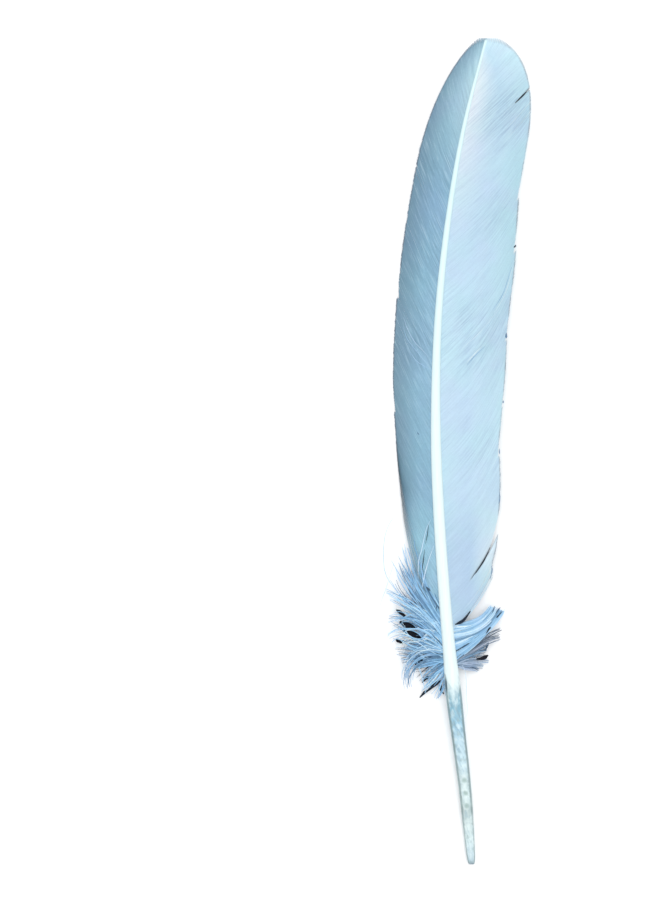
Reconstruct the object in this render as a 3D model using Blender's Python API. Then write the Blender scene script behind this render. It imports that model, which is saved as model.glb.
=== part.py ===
"""
Pale blue turkey wing quill, one grown piece, lying with its upper side up.

Lengths are in millimetres here and become metres when a mesh is made. Y runs along the straight
line from the calamus end to the vane tip, X to the right seen from above, Z up. A feather has a
shaft (calamus below, rachis above), a narrow left vane, a wide right vane, and loose downy locks
where the vanes end. The shaft bows to the left and arches up in the middle, so the feather rests
on the calamus, on the low edge of the left vane and on the tip.
"""

import math
import random

import bmesh
import bpy
from mathutils import Matrix, Vector

MM = 0.001
LEFT = -1
RIGHT = 1

# Shaft, as (distance from the calamus end, value)
LENGTH = 300.0
SHAFT_TOP = 298.0
SHAFT_POINT = 298.6
SHAFT_BOW = ((0, 0.0), (28, -3.0), (60, -7.5), (100, -12.0), (143, -15.4), (175, -16.3),
             (205, -15.5), (237, -12.5), (268, -7.7), (300, -0.2))
SHAFT_WIDTH = ((0, 1.9), (1, 2.6), (4, 3.2), (16, 4.1), (34, 4.9), (46, 5.3), (63, 5.8),
               (77, 4.8), (100, 4.3), (143, 3.9), (185, 3.0), (237, 2.1), (270, 1.5), (298, 1.0))
SHAFT_DEPTH_TO_WIDTH = 0.92
SHAFT_SIDES = 12
SHAFT_RING_SPACING = 6.0
CALAMUS_END_RINGS = (0.0, 1.0, 2.2)
CALAMUS_TOP = 62.0
RACHIS_SQUARENESS = 2.7
CALAMUS_SQUARENESS = 2.0
GROOVE_START = 70.0
GROOVE_FULL = 96.0
GROOVE_TO_DEPTH = 0.30
UMBILICUS_TO_WIDTH = 0.44
UMBILICUS_DEPTH = 1.6

# Arch of the underside, with a flat stretch of calamus that lies on the surface
FLAT_START = 4.0
FLAT_END = 10.0
END_LIFT = 0.25
ARCH_HEIGHT = 6.3

# Vanes: half widths from the shaft's middle, rounded off by a quarter ellipse at the tip
HALF_WIDTH = {
    LEFT: ((79, 2.8), (90, 7.4), (100, 10.4), (112, 12.1), (127, 13.1), (151, 14.3), (176, 15.5),
           (220, 15.3), (250, 14.6)),
    RIGHT: ((84, 16.0), (100, 16.4), (105, 18.0), (109, 18.4), (116, 20.4), (138, 23.0),
            (154, 23.2), (172, 24.9), (200, 25.7), (218, 26.2), (240, 24.7), (262, 24.1)),
}
TIP_ROUND_START = {LEFT: 250.0, RIGHT: 262.0}
EDGE_HEIGHT = {
    LEFT: ((82, 2.2), (120, 1.2), (150, 0.5), (172, 0.42), (200, 0.5), (240, 0.8), (275, 0.9),
           (300, 0.5)),
    RIGHT: ((82, 3.4), (130, 3.8), (170, 4.4), (215, 4.4), (250, 3.2), (280, 1.6), (300, 0.5)),
}
CAMBER = {LEFT: 1.45, RIGHT: 1.7}
VANE_SEAT = 0.10
VANE_THICKNESS = 0.45
VANE_OVERLAP = 0.3

# Barb rows: the angle from the shaft where a barb leaves it, and at the vane's edge
BARB_ANGLE_ROOT = {
    LEFT: ((82, 33.0), (150, 31.0), (230, 32.0), (275, 25.0), (296, 3.0)),
    RIGHT: ((84, 60.0), (100, 51.0), (150, 48.0), (240, 50.0), (275, 42.0), (296, 3.0)),
}
BARB_ANGLE_EDGE = {
    LEFT: ((82, 20.0), (150, 22.0), (230, 26.0), (275, 22.0), (296, 3.0)),
    RIGHT: ((84, 26.0), (100, 30.0), (150, 33.0), (240, 41.0), (275, 36.0), (296, 3.0)),
}
WIDEST = {LEFT: 15.6, RIGHT: 26.2}
FIRST_BARB = {LEFT: 84.0, RIGHT: 85.0}
LAST_BARB = 296.0
ROW_SPACING = 3.9
ROW_SPACING_TIP = 1.9
ROWS_CLOSE_UP_FROM = 250.0
COLUMNS = {LEFT: 7, RIGHT: 9}
RIDGE_HEIGHT = 0.14
RIDGE_FULL_REACH = 8.0
RIDGE_FULL_SHARE = 0.3
LOW_RIDGE_REACH = 0.988

# Splits of the right vane: barb station at the shaft, inner end as a share of the barb, opening
SPLITS = {
    LEFT: (),
    RIGHT: ((95.6, 0.45, 0.20), (123.0, 0.89, 0.30), (162.0, 0.89, 0.30), (195.0, 0.89, 0.30),
            (216.0, 0.89, 0.30), (261.0, 0.78, 0.16)),
}
SPLIT_ROOT_GAP = 0.5
HALVINGS = 40

# Downy locks below the vanes, as (share of the fan from its foot up, value)
LOCK_SEED = 11
LOCK_COUNT = {LEFT: 34, RIGHT: 12}
LOCK_ROOTS = {LEFT: (70.0, 104.0), RIGHT: (73.0, 86.0)}
LOCK_HEADING = {LEFT: ((0, 141.0), (0.15, 128.0), (0.35, 100.0), (0.6, 72.0), (1, 44.0)),
                RIGHT: ((0, 122.0), (0.15, 112.0), (0.4, 102.0), (1, 98.0))}
LOCK_TURN = {LEFT: -16.0, RIGHT: -46.0}
LOCK_LENGTH = {LEFT: ((0, 15.5), (0.15, 19.0), (0.35, 24.0), (0.6, 27.0), (1, 29.0)),
               RIGHT: ((0, 10.5), (0.15, 13.5), (0.3, 14.5), (0.5, 18.5), (1, 21.0))}
LOCK_WIDTH = {LEFT: 2.6, RIGHT: 3.6}
LOCK_THICKNESS = 0.9
LOCK_TIP_HEIGHTS = (1.1, 3.2, 5.0)
LOCK_ROOT_TO_SHAFT_WIDTH = 0.2
LOCK_DROOP = 1.3

# How a lock's width swells and tapers, as (share of its length, share of its width)
LOCK_PROFILE = ((0.0, 0.60), (0.25, 0.95), (0.5, 1.0), (0.75, 0.72), (1.0, 0.0))

# How far one lock may differ from the next
HEADING_SPREAD = 6.0
LENGTH_SPREAD = (0.88, 1.06)
WIDTH_SPREAD = (0.85, 1.15)
TIP_HEIGHT_SPREAD = 0.2

# Colours and roughness: nearly white shaft, pale blue vanes, duller down
SHAFT_COLOUR = (0.86, 0.94, 0.96)
VANE_COLOUR = (0.62, 0.76, 0.86)
DOWN_COLOUR = (0.58, 0.73, 0.84)
SHAFT_ROUGHNESS = 0.35
VANE_ROUGHNESS = 0.55
DOWN_ROUGHNESS = 0.70


def smooth_curve(stations, where):
    """Value on a smooth curve through (distance, value) stations."""
    if where <= stations[0][0]:
        return stations[0][1]
    if where >= stations[-1][0]:
        return stations[-1][1]
    index = max(i for i, station in enumerate(stations) if station[0] <= where)
    start = stations[index]
    end = stations[index + 1]
    before = stations[max(index - 1, 0)]
    after = stations[min(index + 2, len(stations) - 1)]
    span = end[0] - start[0]
    slope_start = span * (end[1] - before[1]) / (end[0] - before[0])
    slope_end = span * (after[1] - start[1]) / (after[0] - start[0])
    t = (where - start[0]) / span
    return (start[1] * (2 * t ** 3 - 3 * t ** 2 + 1) + slope_start * (t ** 3 - 2 * t ** 2 + t)
            + end[1] * (3 * t ** 2 - 2 * t ** 3) + slope_end * (t ** 3 - t ** 2))


def blend(low, high, where):
    """Share from 0 to 1 of the way from low to high."""
    return min(max((where - low) / (high - low), 0.0), 1.0)


def shaft_middle(y):
    return smooth_curve(SHAFT_BOW, y)


def shaft_width(y):
    return smooth_curve(SHAFT_WIDTH, y)


def shaft_depth(y):
    return SHAFT_DEPTH_TO_WIDTH * shaft_width(y)


def underside(y):
    """Height of the shaft's underside above the surface it lies on."""
    if y < FLAT_START:
        return END_LIFT * (1 - y / FLAT_START)
    return ARCH_HEIGHT * math.sin(math.pi * blend(FLAT_END, SHAFT_TOP, y))


def shaft_section(y):
    """Closed outline of the shaft in its own X and Z, starting in the groove underneath."""
    squareness = CALAMUS_SQUARENESS + (RACHIS_SQUARENESS - CALAMUS_SQUARENESS) * blend(
        CALAMUS_TOP, GROOVE_FULL, y)
    step = 2 * math.pi / SHAFT_SIDES
    outline = []
    for side in range(SHAFT_SIDES):
        angle = -math.pi / 2 + step * (side + 0.5)
        across = math.copysign(abs(math.cos(angle)) ** (2 / squareness), math.cos(angle))
        upward = math.copysign(abs(math.sin(angle)) ** (2 / squareness), math.sin(angle))
        outline.append((across * shaft_width(y) / 2, upward * shaft_depth(y) / 2))
    groove = GROOVE_TO_DEPTH * shaft_depth(y) * blend(GROOVE_START, GROOVE_FULL, y)
    return [(0.0, outline[0][1] + groove)] + outline


def shaft_height(y):
    """Height of the shaft's middle."""
    lowest = min(point[1] for point in shaft_section(y)[1:])
    return underside(y) - lowest


def half_width(side, y):
    """Distance from the shaft's middle to the vane's edge."""
    start = TIP_ROUND_START[side]
    rounding = math.sqrt(1 - blend(start, LENGTH, y) ** 2)
    return smooth_curve(HALF_WIDTH[side], y) * rounding


def vane_height(side, y, lateral):
    """Height of the vane's middle layer: level beside the shaft and falling towards the edge."""
    root = shaft_height(y) + VANE_SEAT * shaft_depth(y)
    edge = smooth_curve(EDGE_HEIGHT[side], y)
    width = half_width(side, y)
    share = min(max(lateral, 0.0) / width, 1.0) if width > 0 else 1.0
    return root + (edge - root) * share ** CAMBER[side]


def barb_station(side, root, lateral):
    """
    Distance along the feather that a barb has reached at a lateral distance.
    A barb starts inside the shaft, a little past its middle, and turns from its root angle
    towards its edge angle as it goes out.
    """
    out = lateral + VANE_OVERLAP
    cot_root = 1 / math.tan(math.radians(smooth_curve(BARB_ANGLE_ROOT[side], root)))
    cot_edge = 1 / math.tan(math.radians(smooth_curve(BARB_ANGLE_EDGE[side], root)))
    return root + cot_root * out + (cot_edge - cot_root) * out ** 2 / (2 * WIDEST[side])


def barb_reach(side, root):
    """Lateral distance at which a barb meets the vane's edge, found by halving."""
    low = -VANE_OVERLAP
    high = WIDEST[side]
    for _ in range(HALVINGS):
        middle = (low + high) / 2
        station = barb_station(side, root, middle)
        if station < LENGTH and middle < half_width(side, station):
            low = middle
        else:
            high = middle
    return low


def barb_row(side, root, ridge, pull, pull_start):
    """
    Points of one barb line from inside the shaft to the edge, raised or lowered by ridge.
    pull bends the line back towards the calamus past pull_start, which opens a split.
    """
    reach = barb_reach(side, root) * (1.0 if ridge > 0 else LOW_RIDGE_REACH)
    full_ridge = ridge * RIDGE_HEIGHT * blend(0.0, RIDGE_FULL_REACH, reach)
    columns = COLUMNS[side]
    points = []
    for column in range(columns + 1):
        share = column / columns
        lateral = (reach + VANE_OVERLAP) * share - VANE_OVERLAP
        y = barb_station(side, root, lateral) - pull * max(lateral - pull_start * reach, 0.0)
        height = vane_height(side, y, lateral) + full_ridge * blend(0.0, RIDGE_FULL_SHARE, share)
        points.append(Vector((shaft_middle(y) + side * lateral, y, height)))
    return points


def vane_rows(side):
    """All barb lines of a vane from the foot up, and the cells left open as splits."""
    roots = [FIRST_BARB[side]]
    while roots[-1] < LAST_BARB - ROW_SPACING_TIP / 2:
        closer = blend(ROWS_CLOSE_UP_FROM, LAST_BARB, roots[-1])
        roots.append(roots[-1] + ROW_SPACING + (ROW_SPACING_TIP - ROW_SPACING) * closer)
    roots[-1] = LAST_BARB
    lines = [(root, 0.0, 0.0) for root in roots]
    for root, inner_end, opening in SPLITS[side]:
        lines = [line for line in lines if abs(line[0] - root) > ROW_SPACING / 2]
        lines.append((root - SPLIT_ROOT_GAP / 2, opening, inner_end))
        lines.append((root + SPLIT_ROOT_GAP / 2, 0.0, 0.0))
    lines.sort()
    rows = []
    open_cells = set()
    ridge = -1
    for index, (root, opening, inner_end) in enumerate(lines):
        rows.append(barb_row(side, root, ridge, opening, inner_end))
        if opening:
            first_open = round(inner_end * COLUMNS[side])
            open_cells |= {(index, column) for column in range(first_open, COLUMNS[side])}
        else:
            ridge = -ridge
    return rows, open_cells


def vane_mesh(side):
    """Close the grid of barb lines into one thin plate, with walls round its edge and splits."""
    rows, open_cells = vane_rows(side)
    mesh = bmesh.new()
    half = Vector((0.0, 0.0, VANE_THICKNESS / 2))
    top = [[mesh.verts.new((point + half) * MM) for point in row] for row in rows]
    bottom = [[mesh.verts.new((point - half) * MM) for point in row] for row in rows]
    border = {}
    for i in range(len(rows) - 1):
        for j in range(COLUMNS[side]):
            if (i, j) in open_cells:
                continue
            corners = ((i, j), (i, j + 1), (i + 1, j + 1), (i + 1, j))
            mesh.faces.new([top[a][b] for a, b in corners])
            mesh.faces.new([bottom[a][b] for a, b in reversed(corners)])
            for start, end in zip(corners, corners[1:] + corners[:1]):
                if (end, start) in border:
                    del border[(end, start)]
                else:
                    border[(start, end)] = True
    for (a, b), (c, d) in border:
        mesh.faces.new((top[c][d], top[a][b], bottom[a][b], bottom[c][d]))
    return mesh


def shaft_stations():
    """Distances along the shaft that have a ring, closer together at the calamus end."""
    count = round((SHAFT_TOP - FLAT_END) / SHAFT_RING_SPACING)
    spacing = (SHAFT_TOP - FLAT_END) / count
    arched = [FLAT_END + spacing * (i + 1) for i in range(count)]
    return [*CALAMUS_END_RINGS, FLAT_START, FLAT_END, *arched]


def add_loft(mesh, rings, start, end):
    """Skin a run of rings, closed to the start point and the end point."""
    loops = [[mesh.verts.new(point * MM) for point in ring] for ring in rings]
    start_point = mesh.verts.new(start * MM)
    end_point = mesh.verts.new(end * MM)
    sides = len(rings[0])
    for k in range(sides):
        following = (k + 1) % sides
        mesh.faces.new((loops[0][following], loops[0][k], start_point))
        mesh.faces.new((loops[-1][k], loops[-1][following], end_point))
        for low, high in zip(loops, loops[1:]):
            mesh.faces.new((low[k], low[following], high[following], high[k]))


def shaft_ring(y, scale=1.0):
    middle = Vector((shaft_middle(y), y, shaft_height(y)))
    return [middle + Vector((x, 0.0, z)) * scale for x, z in shaft_section(y)]


def shaft_mesh():
    """Loft the shaft from the pit in the calamus end to its point under the vane tip."""
    mesh = bmesh.new()
    pit_rim = shaft_ring(0.0, UMBILICUS_TO_WIDTH)
    pit_floor = Vector((shaft_middle(0.0), UMBILICUS_DEPTH, shaft_height(0.0)))
    point = Vector((shaft_middle(SHAFT_POINT), SHAFT_POINT, shaft_height(SHAFT_TOP)))
    rings = [pit_rim] + [shaft_ring(y) for y in shaft_stations()]
    add_loft(mesh, rings, pit_floor, point)
    return mesh


def add_lock(mesh, side, root, heading, length, width, tip_height):
    """One flat tapered lock that leaves the shaft at a heading and turns as it goes."""
    root_height = shaft_height(root)
    root_x = shaft_middle(root) + side * LOCK_ROOT_TO_SHAFT_WIDTH * shaft_width(root)
    place = Vector((root_x, root, root_height))
    start = place.copy()
    rings = []
    previous = 0.0
    for share, swell in LOCK_PROFILE:
        angle = math.radians(heading + LOCK_TURN[side] * share)
        along = Vector((side * math.sin(angle), math.cos(angle), 0.0))
        place = place + along * length * (share - previous)
        place.z = root_height + (tip_height - root_height) * share ** LOCK_DROOP
        previous = share
        across = Vector((along.y, -along.x, 0.0)) * width * swell / 2
        upward = Vector((0.0, 0.0, LOCK_THICKNESS * swell / 2))
        rings.append([place + offset for offset in (across, upward, -across, -upward)])
    add_loft(mesh, rings[:-1], start, place)


def lock_mesh(side):
    """A fan of locks from the foot of the vanes, in three layers of height."""
    chance = random.Random(LOCK_SEED + side)
    mesh = bmesh.new()
    low, high = LOCK_ROOTS[side]
    for index in range(LOCK_COUNT[side]):
        share = index / (LOCK_COUNT[side] - 1)
        root = low + (high - low) * share
        heading = smooth_curve(LOCK_HEADING[side], share)
        heading += chance.uniform(-HEADING_SPREAD, HEADING_SPREAD)
        length = smooth_curve(LOCK_LENGTH[side], share) * chance.uniform(*LENGTH_SPREAD)
        width = LOCK_WIDTH[side] * chance.uniform(*WIDTH_SPREAD)
        tip_height = LOCK_TIP_HEIGHTS[index % len(LOCK_TIP_HEIGHTS)]
        tip_height += chance.uniform(-TIP_HEIGHT_SPREAD, TIP_HEIGHT_SPREAD)
        add_lock(mesh, side, root, heading, length, width, tip_height)
    return mesh


def make_material(name, colour, roughness):
    material = bpy.data.materials.new(name)
    material.use_nodes = True
    shader = material.node_tree.nodes["Principled BSDF"]
    shader.inputs["Base Color"].default_value = (*colour, 1.0)
    shader.inputs["Roughness"].default_value = roughness
    shader.inputs["Metallic"].default_value = 0.0
    return material


def make_object(name, mesh, material):
    """Turn a bmesh into an object with its faces pointing out."""
    bmesh.ops.recalc_face_normals(mesh, faces=mesh.faces)
    data = bpy.data.meshes.new(name)
    mesh.to_mesh(data)
    mesh.free()
    data.materials.append(material)
    item = bpy.data.objects.new(name, data)
    bpy.context.scene.collection.objects.link(item)
    return item


def grow_together(body, *grown):
    """Union the grown solids into the body, and keep only the finished body."""
    for item in grown:
        union = body.modifiers.new(item.name, "BOOLEAN")
        union.operation = "UNION"
        union.solver = "EXACT"
        union.use_self = True
        union.material_mode = "TRANSFER"
        union.object = item
    whole = body.evaluated_get(bpy.context.evaluated_depsgraph_get())
    body.data = bpy.data.meshes.new_from_object(whole)
    body.modifiers.clear()
    for item in grown:
        bpy.data.objects.remove(item)


def put_origin_underneath(body):
    """Move the mesh so that the origin is the middle of its box, on the surface it lies on."""
    corners = [Vector(corner) for corner in body.bound_box]
    lowest = Vector(min(corner[axis] for corner in corners) for axis in range(3))
    highest = Vector(max(corner[axis] for corner in corners) for axis in range(3))
    middle = (lowest + highest) / 2
    body.data.transform(Matrix.Translation((-middle.x, -middle.y, -lowest.z)))


def shade(body, round_material):
    """Shade the round shaft smooth and leave the ridged vanes and the locks faceted."""
    for face in body.data.polygons:
        face.use_smooth = body.data.materials[face.material_index] == round_material


def main():
    for item in list(bpy.data.objects):
        bpy.data.objects.remove(item)
    white = make_material("feather_shaft", SHAFT_COLOUR, SHAFT_ROUGHNESS)
    blue = make_material("feather_vane", VANE_COLOUR, VANE_ROUGHNESS)
    dull = make_material("feather_down", DOWN_COLOUR, DOWN_ROUGHNESS)

    feather = make_object("feather", shaft_mesh(), white)
    grow_together(
        feather,
        make_object("right_vane", vane_mesh(RIGHT), blue),
        make_object("left_vane", vane_mesh(LEFT), blue),
        make_object("right_locks", lock_mesh(RIGHT), dull),
        make_object("left_locks", lock_mesh(LEFT), dull))
    put_origin_underneath(feather)
    shade(feather, white)


main()
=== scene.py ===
"""
Looks of a pale blue turkey wing quill that lies with its upper side up.

Lengths are in millimetres until a mesh is made, and become metres there. Y runs from the calamus
end to the vane tip, X to the right seen from above and Z up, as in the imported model, but X and Y
start at the middle of the calamus end. A vane is built barb by barb on one curved sheet, and the
down strand by strand, each strand with its own barbules.
"""
import math
from collections import namedtuple
from functools import partialmethod

import bpy
import numpy as np
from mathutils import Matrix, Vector


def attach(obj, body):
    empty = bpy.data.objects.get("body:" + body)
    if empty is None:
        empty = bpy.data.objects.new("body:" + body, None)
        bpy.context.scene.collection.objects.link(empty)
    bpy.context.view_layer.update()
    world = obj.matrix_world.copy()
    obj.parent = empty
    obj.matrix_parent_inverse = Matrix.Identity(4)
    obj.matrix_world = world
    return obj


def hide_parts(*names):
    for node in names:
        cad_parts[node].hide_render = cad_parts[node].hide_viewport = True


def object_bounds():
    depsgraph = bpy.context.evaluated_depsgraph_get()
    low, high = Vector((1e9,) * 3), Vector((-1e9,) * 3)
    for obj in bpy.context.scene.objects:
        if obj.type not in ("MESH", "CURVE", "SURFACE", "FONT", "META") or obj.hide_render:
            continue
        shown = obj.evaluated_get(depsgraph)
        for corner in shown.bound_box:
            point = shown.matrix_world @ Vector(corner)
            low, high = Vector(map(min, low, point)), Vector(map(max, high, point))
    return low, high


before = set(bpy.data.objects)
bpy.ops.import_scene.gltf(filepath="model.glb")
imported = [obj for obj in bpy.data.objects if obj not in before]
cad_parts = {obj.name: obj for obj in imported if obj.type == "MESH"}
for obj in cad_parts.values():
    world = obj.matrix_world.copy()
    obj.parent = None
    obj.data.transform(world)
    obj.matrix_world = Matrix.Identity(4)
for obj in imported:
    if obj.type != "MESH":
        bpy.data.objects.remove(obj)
cad_low, cad_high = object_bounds()

MM = 0.001
LEFT = -1
RIGHT = 1
FOOT_X = 10.403

# Shaft, as (distance from the calamus end, value)
LENGTH = 300
ARCH_END = 298
SHAFT_TOP = 299.2
SHAFT_POINT = 299.7
SHAFT_BOW = ((0, 0), (28, -3), (60, -7.5), (100, -12), (143, -15.4), (175, -16.3),
             (205, -15.5), (237, -12.5), (268, -7.7), (300, -0.2))
SHAFT_WIDTH = ((0, 1.9), (1, 2.6), (4, 3.2), (16, 4.1), (34, 4.9), (46, 5.3), (63, 5.8),
               (77, 4.8), (100, 4.3), (143, 3.9), (185, 3), (237, 2.1), (270, 1.5), (298, 1))
SHAFT_DEPTH_TO_WIDTH = 0.92
CALAMUS_TOP = 62
RACHIS_SQUARENESS = 2.7
CALAMUS_SQUARENESS = 2
LOWEST_FACET = math.radians(75)
GROOVE_START = 70
GROOVE_FULL = 96
GROOVE_TO_DEPTH = 0.3
GROOVE_TO_WIDTH = 0.17
UMBILICUS_TO_WIDTH = 0.44
UMBILICUS_DEPTH = 1.6
UMBILICUS_WALL = 0.6
SHAFT_SIDES = 40
END_RINGS = (0, 0.12, 0.35, 0.7, 1.1, 1.6, 2.2, 3)
EVEN_RINGS_START = 4
SHAFT_RING_SPACING = 0.75
SHAFT_CREASE = 50

# Hollow of the calamus
WALL = 0.45
CAVITY = (3.2, 63)
HOLLOW_RINGS = 90
HOLLOW_ROUNDING = (0.06, 0.94)
HOLLOW_POWER = 0.25
HOLLOW_END = 0.3

# Dry pith caps in it, with rings as (share of the hollow's radius, depth)
PITH_SEED = 19
CAP_PROFILE = ((0.55, 0.09), (0.92, 0.45), (0.97, 1.17), (0.9, 1.215), (0.8, 0.675),
               (0.5, 0.306), (0.12, 0.234))
CAP_POLES = (0.02, 0.25)
CAP_SIDES = 20
CAP_SPACING = (2.2, 3.6)
CAP_GROWTH = (6, 40)
CAP_UNEVENNESS = (0.75, 1.2)
CAP_MARGINS = (2.5, 4.5)
CAP_CLEARANCE = 0.06
CAP_FLATNESS = 0.9
CAP_TILT = 0.25
CAP_RIM = 0.85
CAP_RAGGEDNESS = 0.05
CAP_CREASE = 40

# Arch of the underside, with a flat stretch of calamus that lies on the surface
FLAT_START = 4
FLAT_END = 10
END_LIFT = 0.25
ARCH_HEIGHT = 6.3

# Vanes: half widths from the shaft's middle, rounded off by a quarter ellipse at the tip
HALF_WIDTH = {
    LEFT: ((79, 2.8), (90, 7.4), (100, 10.4), (112, 12.1), (127, 13.1), (151, 14.3), (176, 15.5),
           (220, 15.3), (250, 14.6)),
    RIGHT: ((84, 16), (100, 16.4), (105, 18), (109, 18.4), (116, 20.4), (138, 23),
            (154, 23.2), (172, 24.9), (200, 25.7), (218, 26.2), (240, 24.7), (262, 24.1)),
}
TIP_ROUND_START = {LEFT: 250, RIGHT: 262}
EDGE_HEIGHT = {
    LEFT: ((82, 2.2), (120, 1.2), (150, 0.5), (172, 0.42), (200, 0.5), (240, 0.8), (275, 0.9),
           (300, 0.5)),
    RIGHT: ((82, 3.4), (130, 3.8), (170, 4.4), (215, 4.4), (250, 3.2), (280, 1.6), (300, 0.5)),
}
CAMBER = {LEFT: 1.45, RIGHT: 1.7}
VANE_SEAT = 0.1
VANE_OVERLAP = 0.3

# Barbs: the angle from the shaft where one leaves it and at the vane's edge, and how much
# further its end sweeps up towards the vane tip
BARB_ANGLE_ROOT = {
    LEFT: ((79, 31), (150, 31), (230, 32), (275, 25), (296, 3)),
    RIGHT: ((84, 62), (96, 54), (150, 49), (215, 48), (250, 45), (275, 38), (296, 3)),
}
BARB_ANGLE_EDGE = {
    LEFT: ((79, 20), (150, 22), (230, 26), (275, 22), (296, 3)),
    RIGHT: ((84, 25), (100, 29), (150, 33), (215, 35), (250, 35), (275, 31), (296, 3)),
}
SWEEP = {
    LEFT: ((79, 2.6), (96, 1.6), (112, 0.5), (130, 0), (296, 0)),
    RIGHT: ((84, 0.25), (110, 0.15), (150, 0.3), (215, 0.3), (250, 0.15), (275, 0), (296, 0)),
}
SWEEP_POWER = 5
WIDEST = {LEFT: 15.6, RIGHT: 26.2}
FIRST_BARB = {LEFT: 79, RIGHT: 84}
LAST_BARB = 296.5
ROOT_SAMPLES = 4000
EDGE_SAMPLES = 500
HALVINGS = 40
BARB_WIDTH = 0.285
LEAST_SINE = 0.22
BARB_RINGS = 30
RING_CROWDING = 1.35
BARB_OVERLAP = 1.14
FAN_STEP = 0.1
FULL_THICKNESS_REACH = 4
THINNEST = 0.3
TIP_THICKNESS = 0.25
TIP_TAPER = (0.972, 1.004)
TIP_MARGIN = 0.02
LOWEST_BARB = 0.05
VANE_CREASE = 60

# One barb's section, as (share of its half width, height): a rib between two thin webs
BARB_SECTION = ((-1, -0.055), (-0.4, -0.01), (0, 0.065), (0.4, 0.02), (1, 0.05),
                (0, -0.11))

# Unevenness: clumps of barbs, their lift and trimmed tips, and the loose barbs at the foot
VANE_SEED = 40
CLUMP_SIZES = (3, 12)
PINCH = (0.05, 0.3)
PINCH_POWER = 2.5
CLUMP_LIFT = (0.03, 0.09)
BARB_LIFT = 0.02
LIFT_POWER = 1.3
TRIM = 0.06
TRIM_LIMIT = 0.12
EVEN_TIPS = (255, 285)
LOOSE_ROOTS = {LEFT: (84, 104), RIGHT: (80, 90)}
LOOSE_SLIP = (0.5, 0.6)
SLIP_POWER = 1.6
LOOSE_LIFT = 0.22
LOOSE_THINNING = 0.45
THINNING_POWER = 1.5
LOOSE_RUFFLE = 0.6

# Splits: station at the vane's edge, inner end as a share of the barb, opening, and how much
# shorter the barbs just above it are
SPLITS = {LEFT: (),
          RIGHT: ((121.5, 0.55, 0.11, 3.2), (282.2, 0.81, 0.17, 0))}
SPLIT_HALF_WIDTH = 0.31
SPLIT_OUTER_END = 0.96
SPLIT_CUT_POWER = 1.3
SPLIT_SHADE_EDGE = (-0.03, 0.1)
SPLIT_FADE = 3.6
SPLIT_CUT_FADE = 6.5
SPLIT_SHADE_REACH = 0.45

# Nicks in the vane's edge: stations, depth and how far each runs down and up along the edge
NICKS = {LEFT: (165, 206), RIGHT: (149.6, 167.4, 192, 224, 243)}
NICK_DEPTH = 0.65
NICK_DOWN = 1.8
NICK_UP = 12

# Ruffled patches, as (station, lateral distance, reach, strength)
RUFFLED = {LEFT: ((190, 8.5, 11, 0.8), (222, 9, 12, 0.55), (252, 9, 9, 0.7)),
           RIGHT: ((273, 14, 10, 0.85), (193, 15, 14, 0.5), (236, 17, 9, 0.4),
                   (150, 17, 9, 0.25))}

# Down, in sprays of clumps. Each pair runs from a spray's first clump to its last. Headings are
# degrees from +Y outwards, leave at the shaft and arrive at the tip. Strands are those of one
# clump, and tone runs from 0, dark, to 1, pale. The darkest sprays lie deep under the others, and
# their dark tone is painted shade.
Spray = namedtuple("Spray", "roots leave arrive length clumps strands width tip_height tone "
                   "half_width fluff grey", defaults=(0.13, 1, 0))
DOWN = (
    ("left_down", LEFT, (
        # Painted shade: a dark spray deep under the others
        Spray((73, 78.5), (112, 76), (128, 77), (13, 18), 5, 4, 4.6, 0.8, 0.12),
        Spray((80, 85), (67, 40), (64, 26), (19, 24), 4, 5, 4.6, 0.8, 0.38),
        Spray((69.5, 72), (160, 146), (148, 136), (10, 13.5), 2, 5, 1.8, 2.6, 0.58, 0.22, 0.6),
        Spray((72, 75), (136, 112), (148, 126), (10.5, 13.5), 4, 5, 2.4, 2.6, 0.47, 0.27, 0.6),
        Spray((74, 76), (102, 84), (106, 82), (15, 19), 4, 6, 2.4, 3, 0.42, 0.2, 0.9),
        Spray((75.5, 77), (72, 62), (74, 60), (19, 22), 3, 5, 2, 3.4, 0.5, 0.22, 0.9),
        Spray((75.5, 86), (56, 41), (44, 24), (14, 18), 10, 4, 1.6, 3, 0.6, 0.34, 0.4),
        Spray((86.6, 93), (40, 32), (23, 12), (18, 21), 6, 4, 1.6, 3, 0.42, 0.34, 0.4),
    )),
    ("left_plume", LEFT, (
        Spray((79, 88), (48, 31), (38, 9), (26, 37), 9, 6, 2.6, 3.2, 0.5, 0.22, 0.7),
        Spray((74.5, 77), (78, 64), (196, 176), (23, 20), 3, 7, 2.6, 3.4, 0.42, 0.19, 1, 0.2),
        Spray((77, 82), (40, 32), (126, 60), (29, 28), 5, 6, 2.6, 5, 0.58, 0.21, 0.8),
        Spray((73, 77), (66, 48), (64, 40), (19, 24), 4, 3, 5.5, 4.6, 0.84, 0.11, 0.3),
        Spray((77, 86), (72, 50), (168, 120), (20, 26), 5, 3, 5, 4.8, 0.86, 0.11, 0.3),
    )),
    ("right_down", RIGHT, (
        # Painted shade: dark strands deep between the tuft's lobes
        Spray((73, 74), (74, 44), (96, 72), (9, 15), 4, 5, 2.4, 1.8, 0.05),
        Spray((72, 72.6), (84, 76), (118, 96), (9, 12.5), 3, 8, 2.4, 2.4, 0.56, 0.26, 0.6, 0.7),
        Spray((72.8, 73.2), (54, 50), (80, 72), (13, 14.5), 2, 8, 2.6, 2.9, 0.42, 0.24, 0.7, 0.4),
        Spray((73.2, 73.8), (47, 43), (80, 68), (19, 21), 3, 7, 2.4, 3.4, 0.37, 0.24, 0.7, 0.9),
        Spray((73.4, 87.3), (47, 98), (36, 27), (26.5, 17.5), 23, 3, 1.1, 5, 0.66, 0.36, 0.25,
              0.15),
    )),
)

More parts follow.
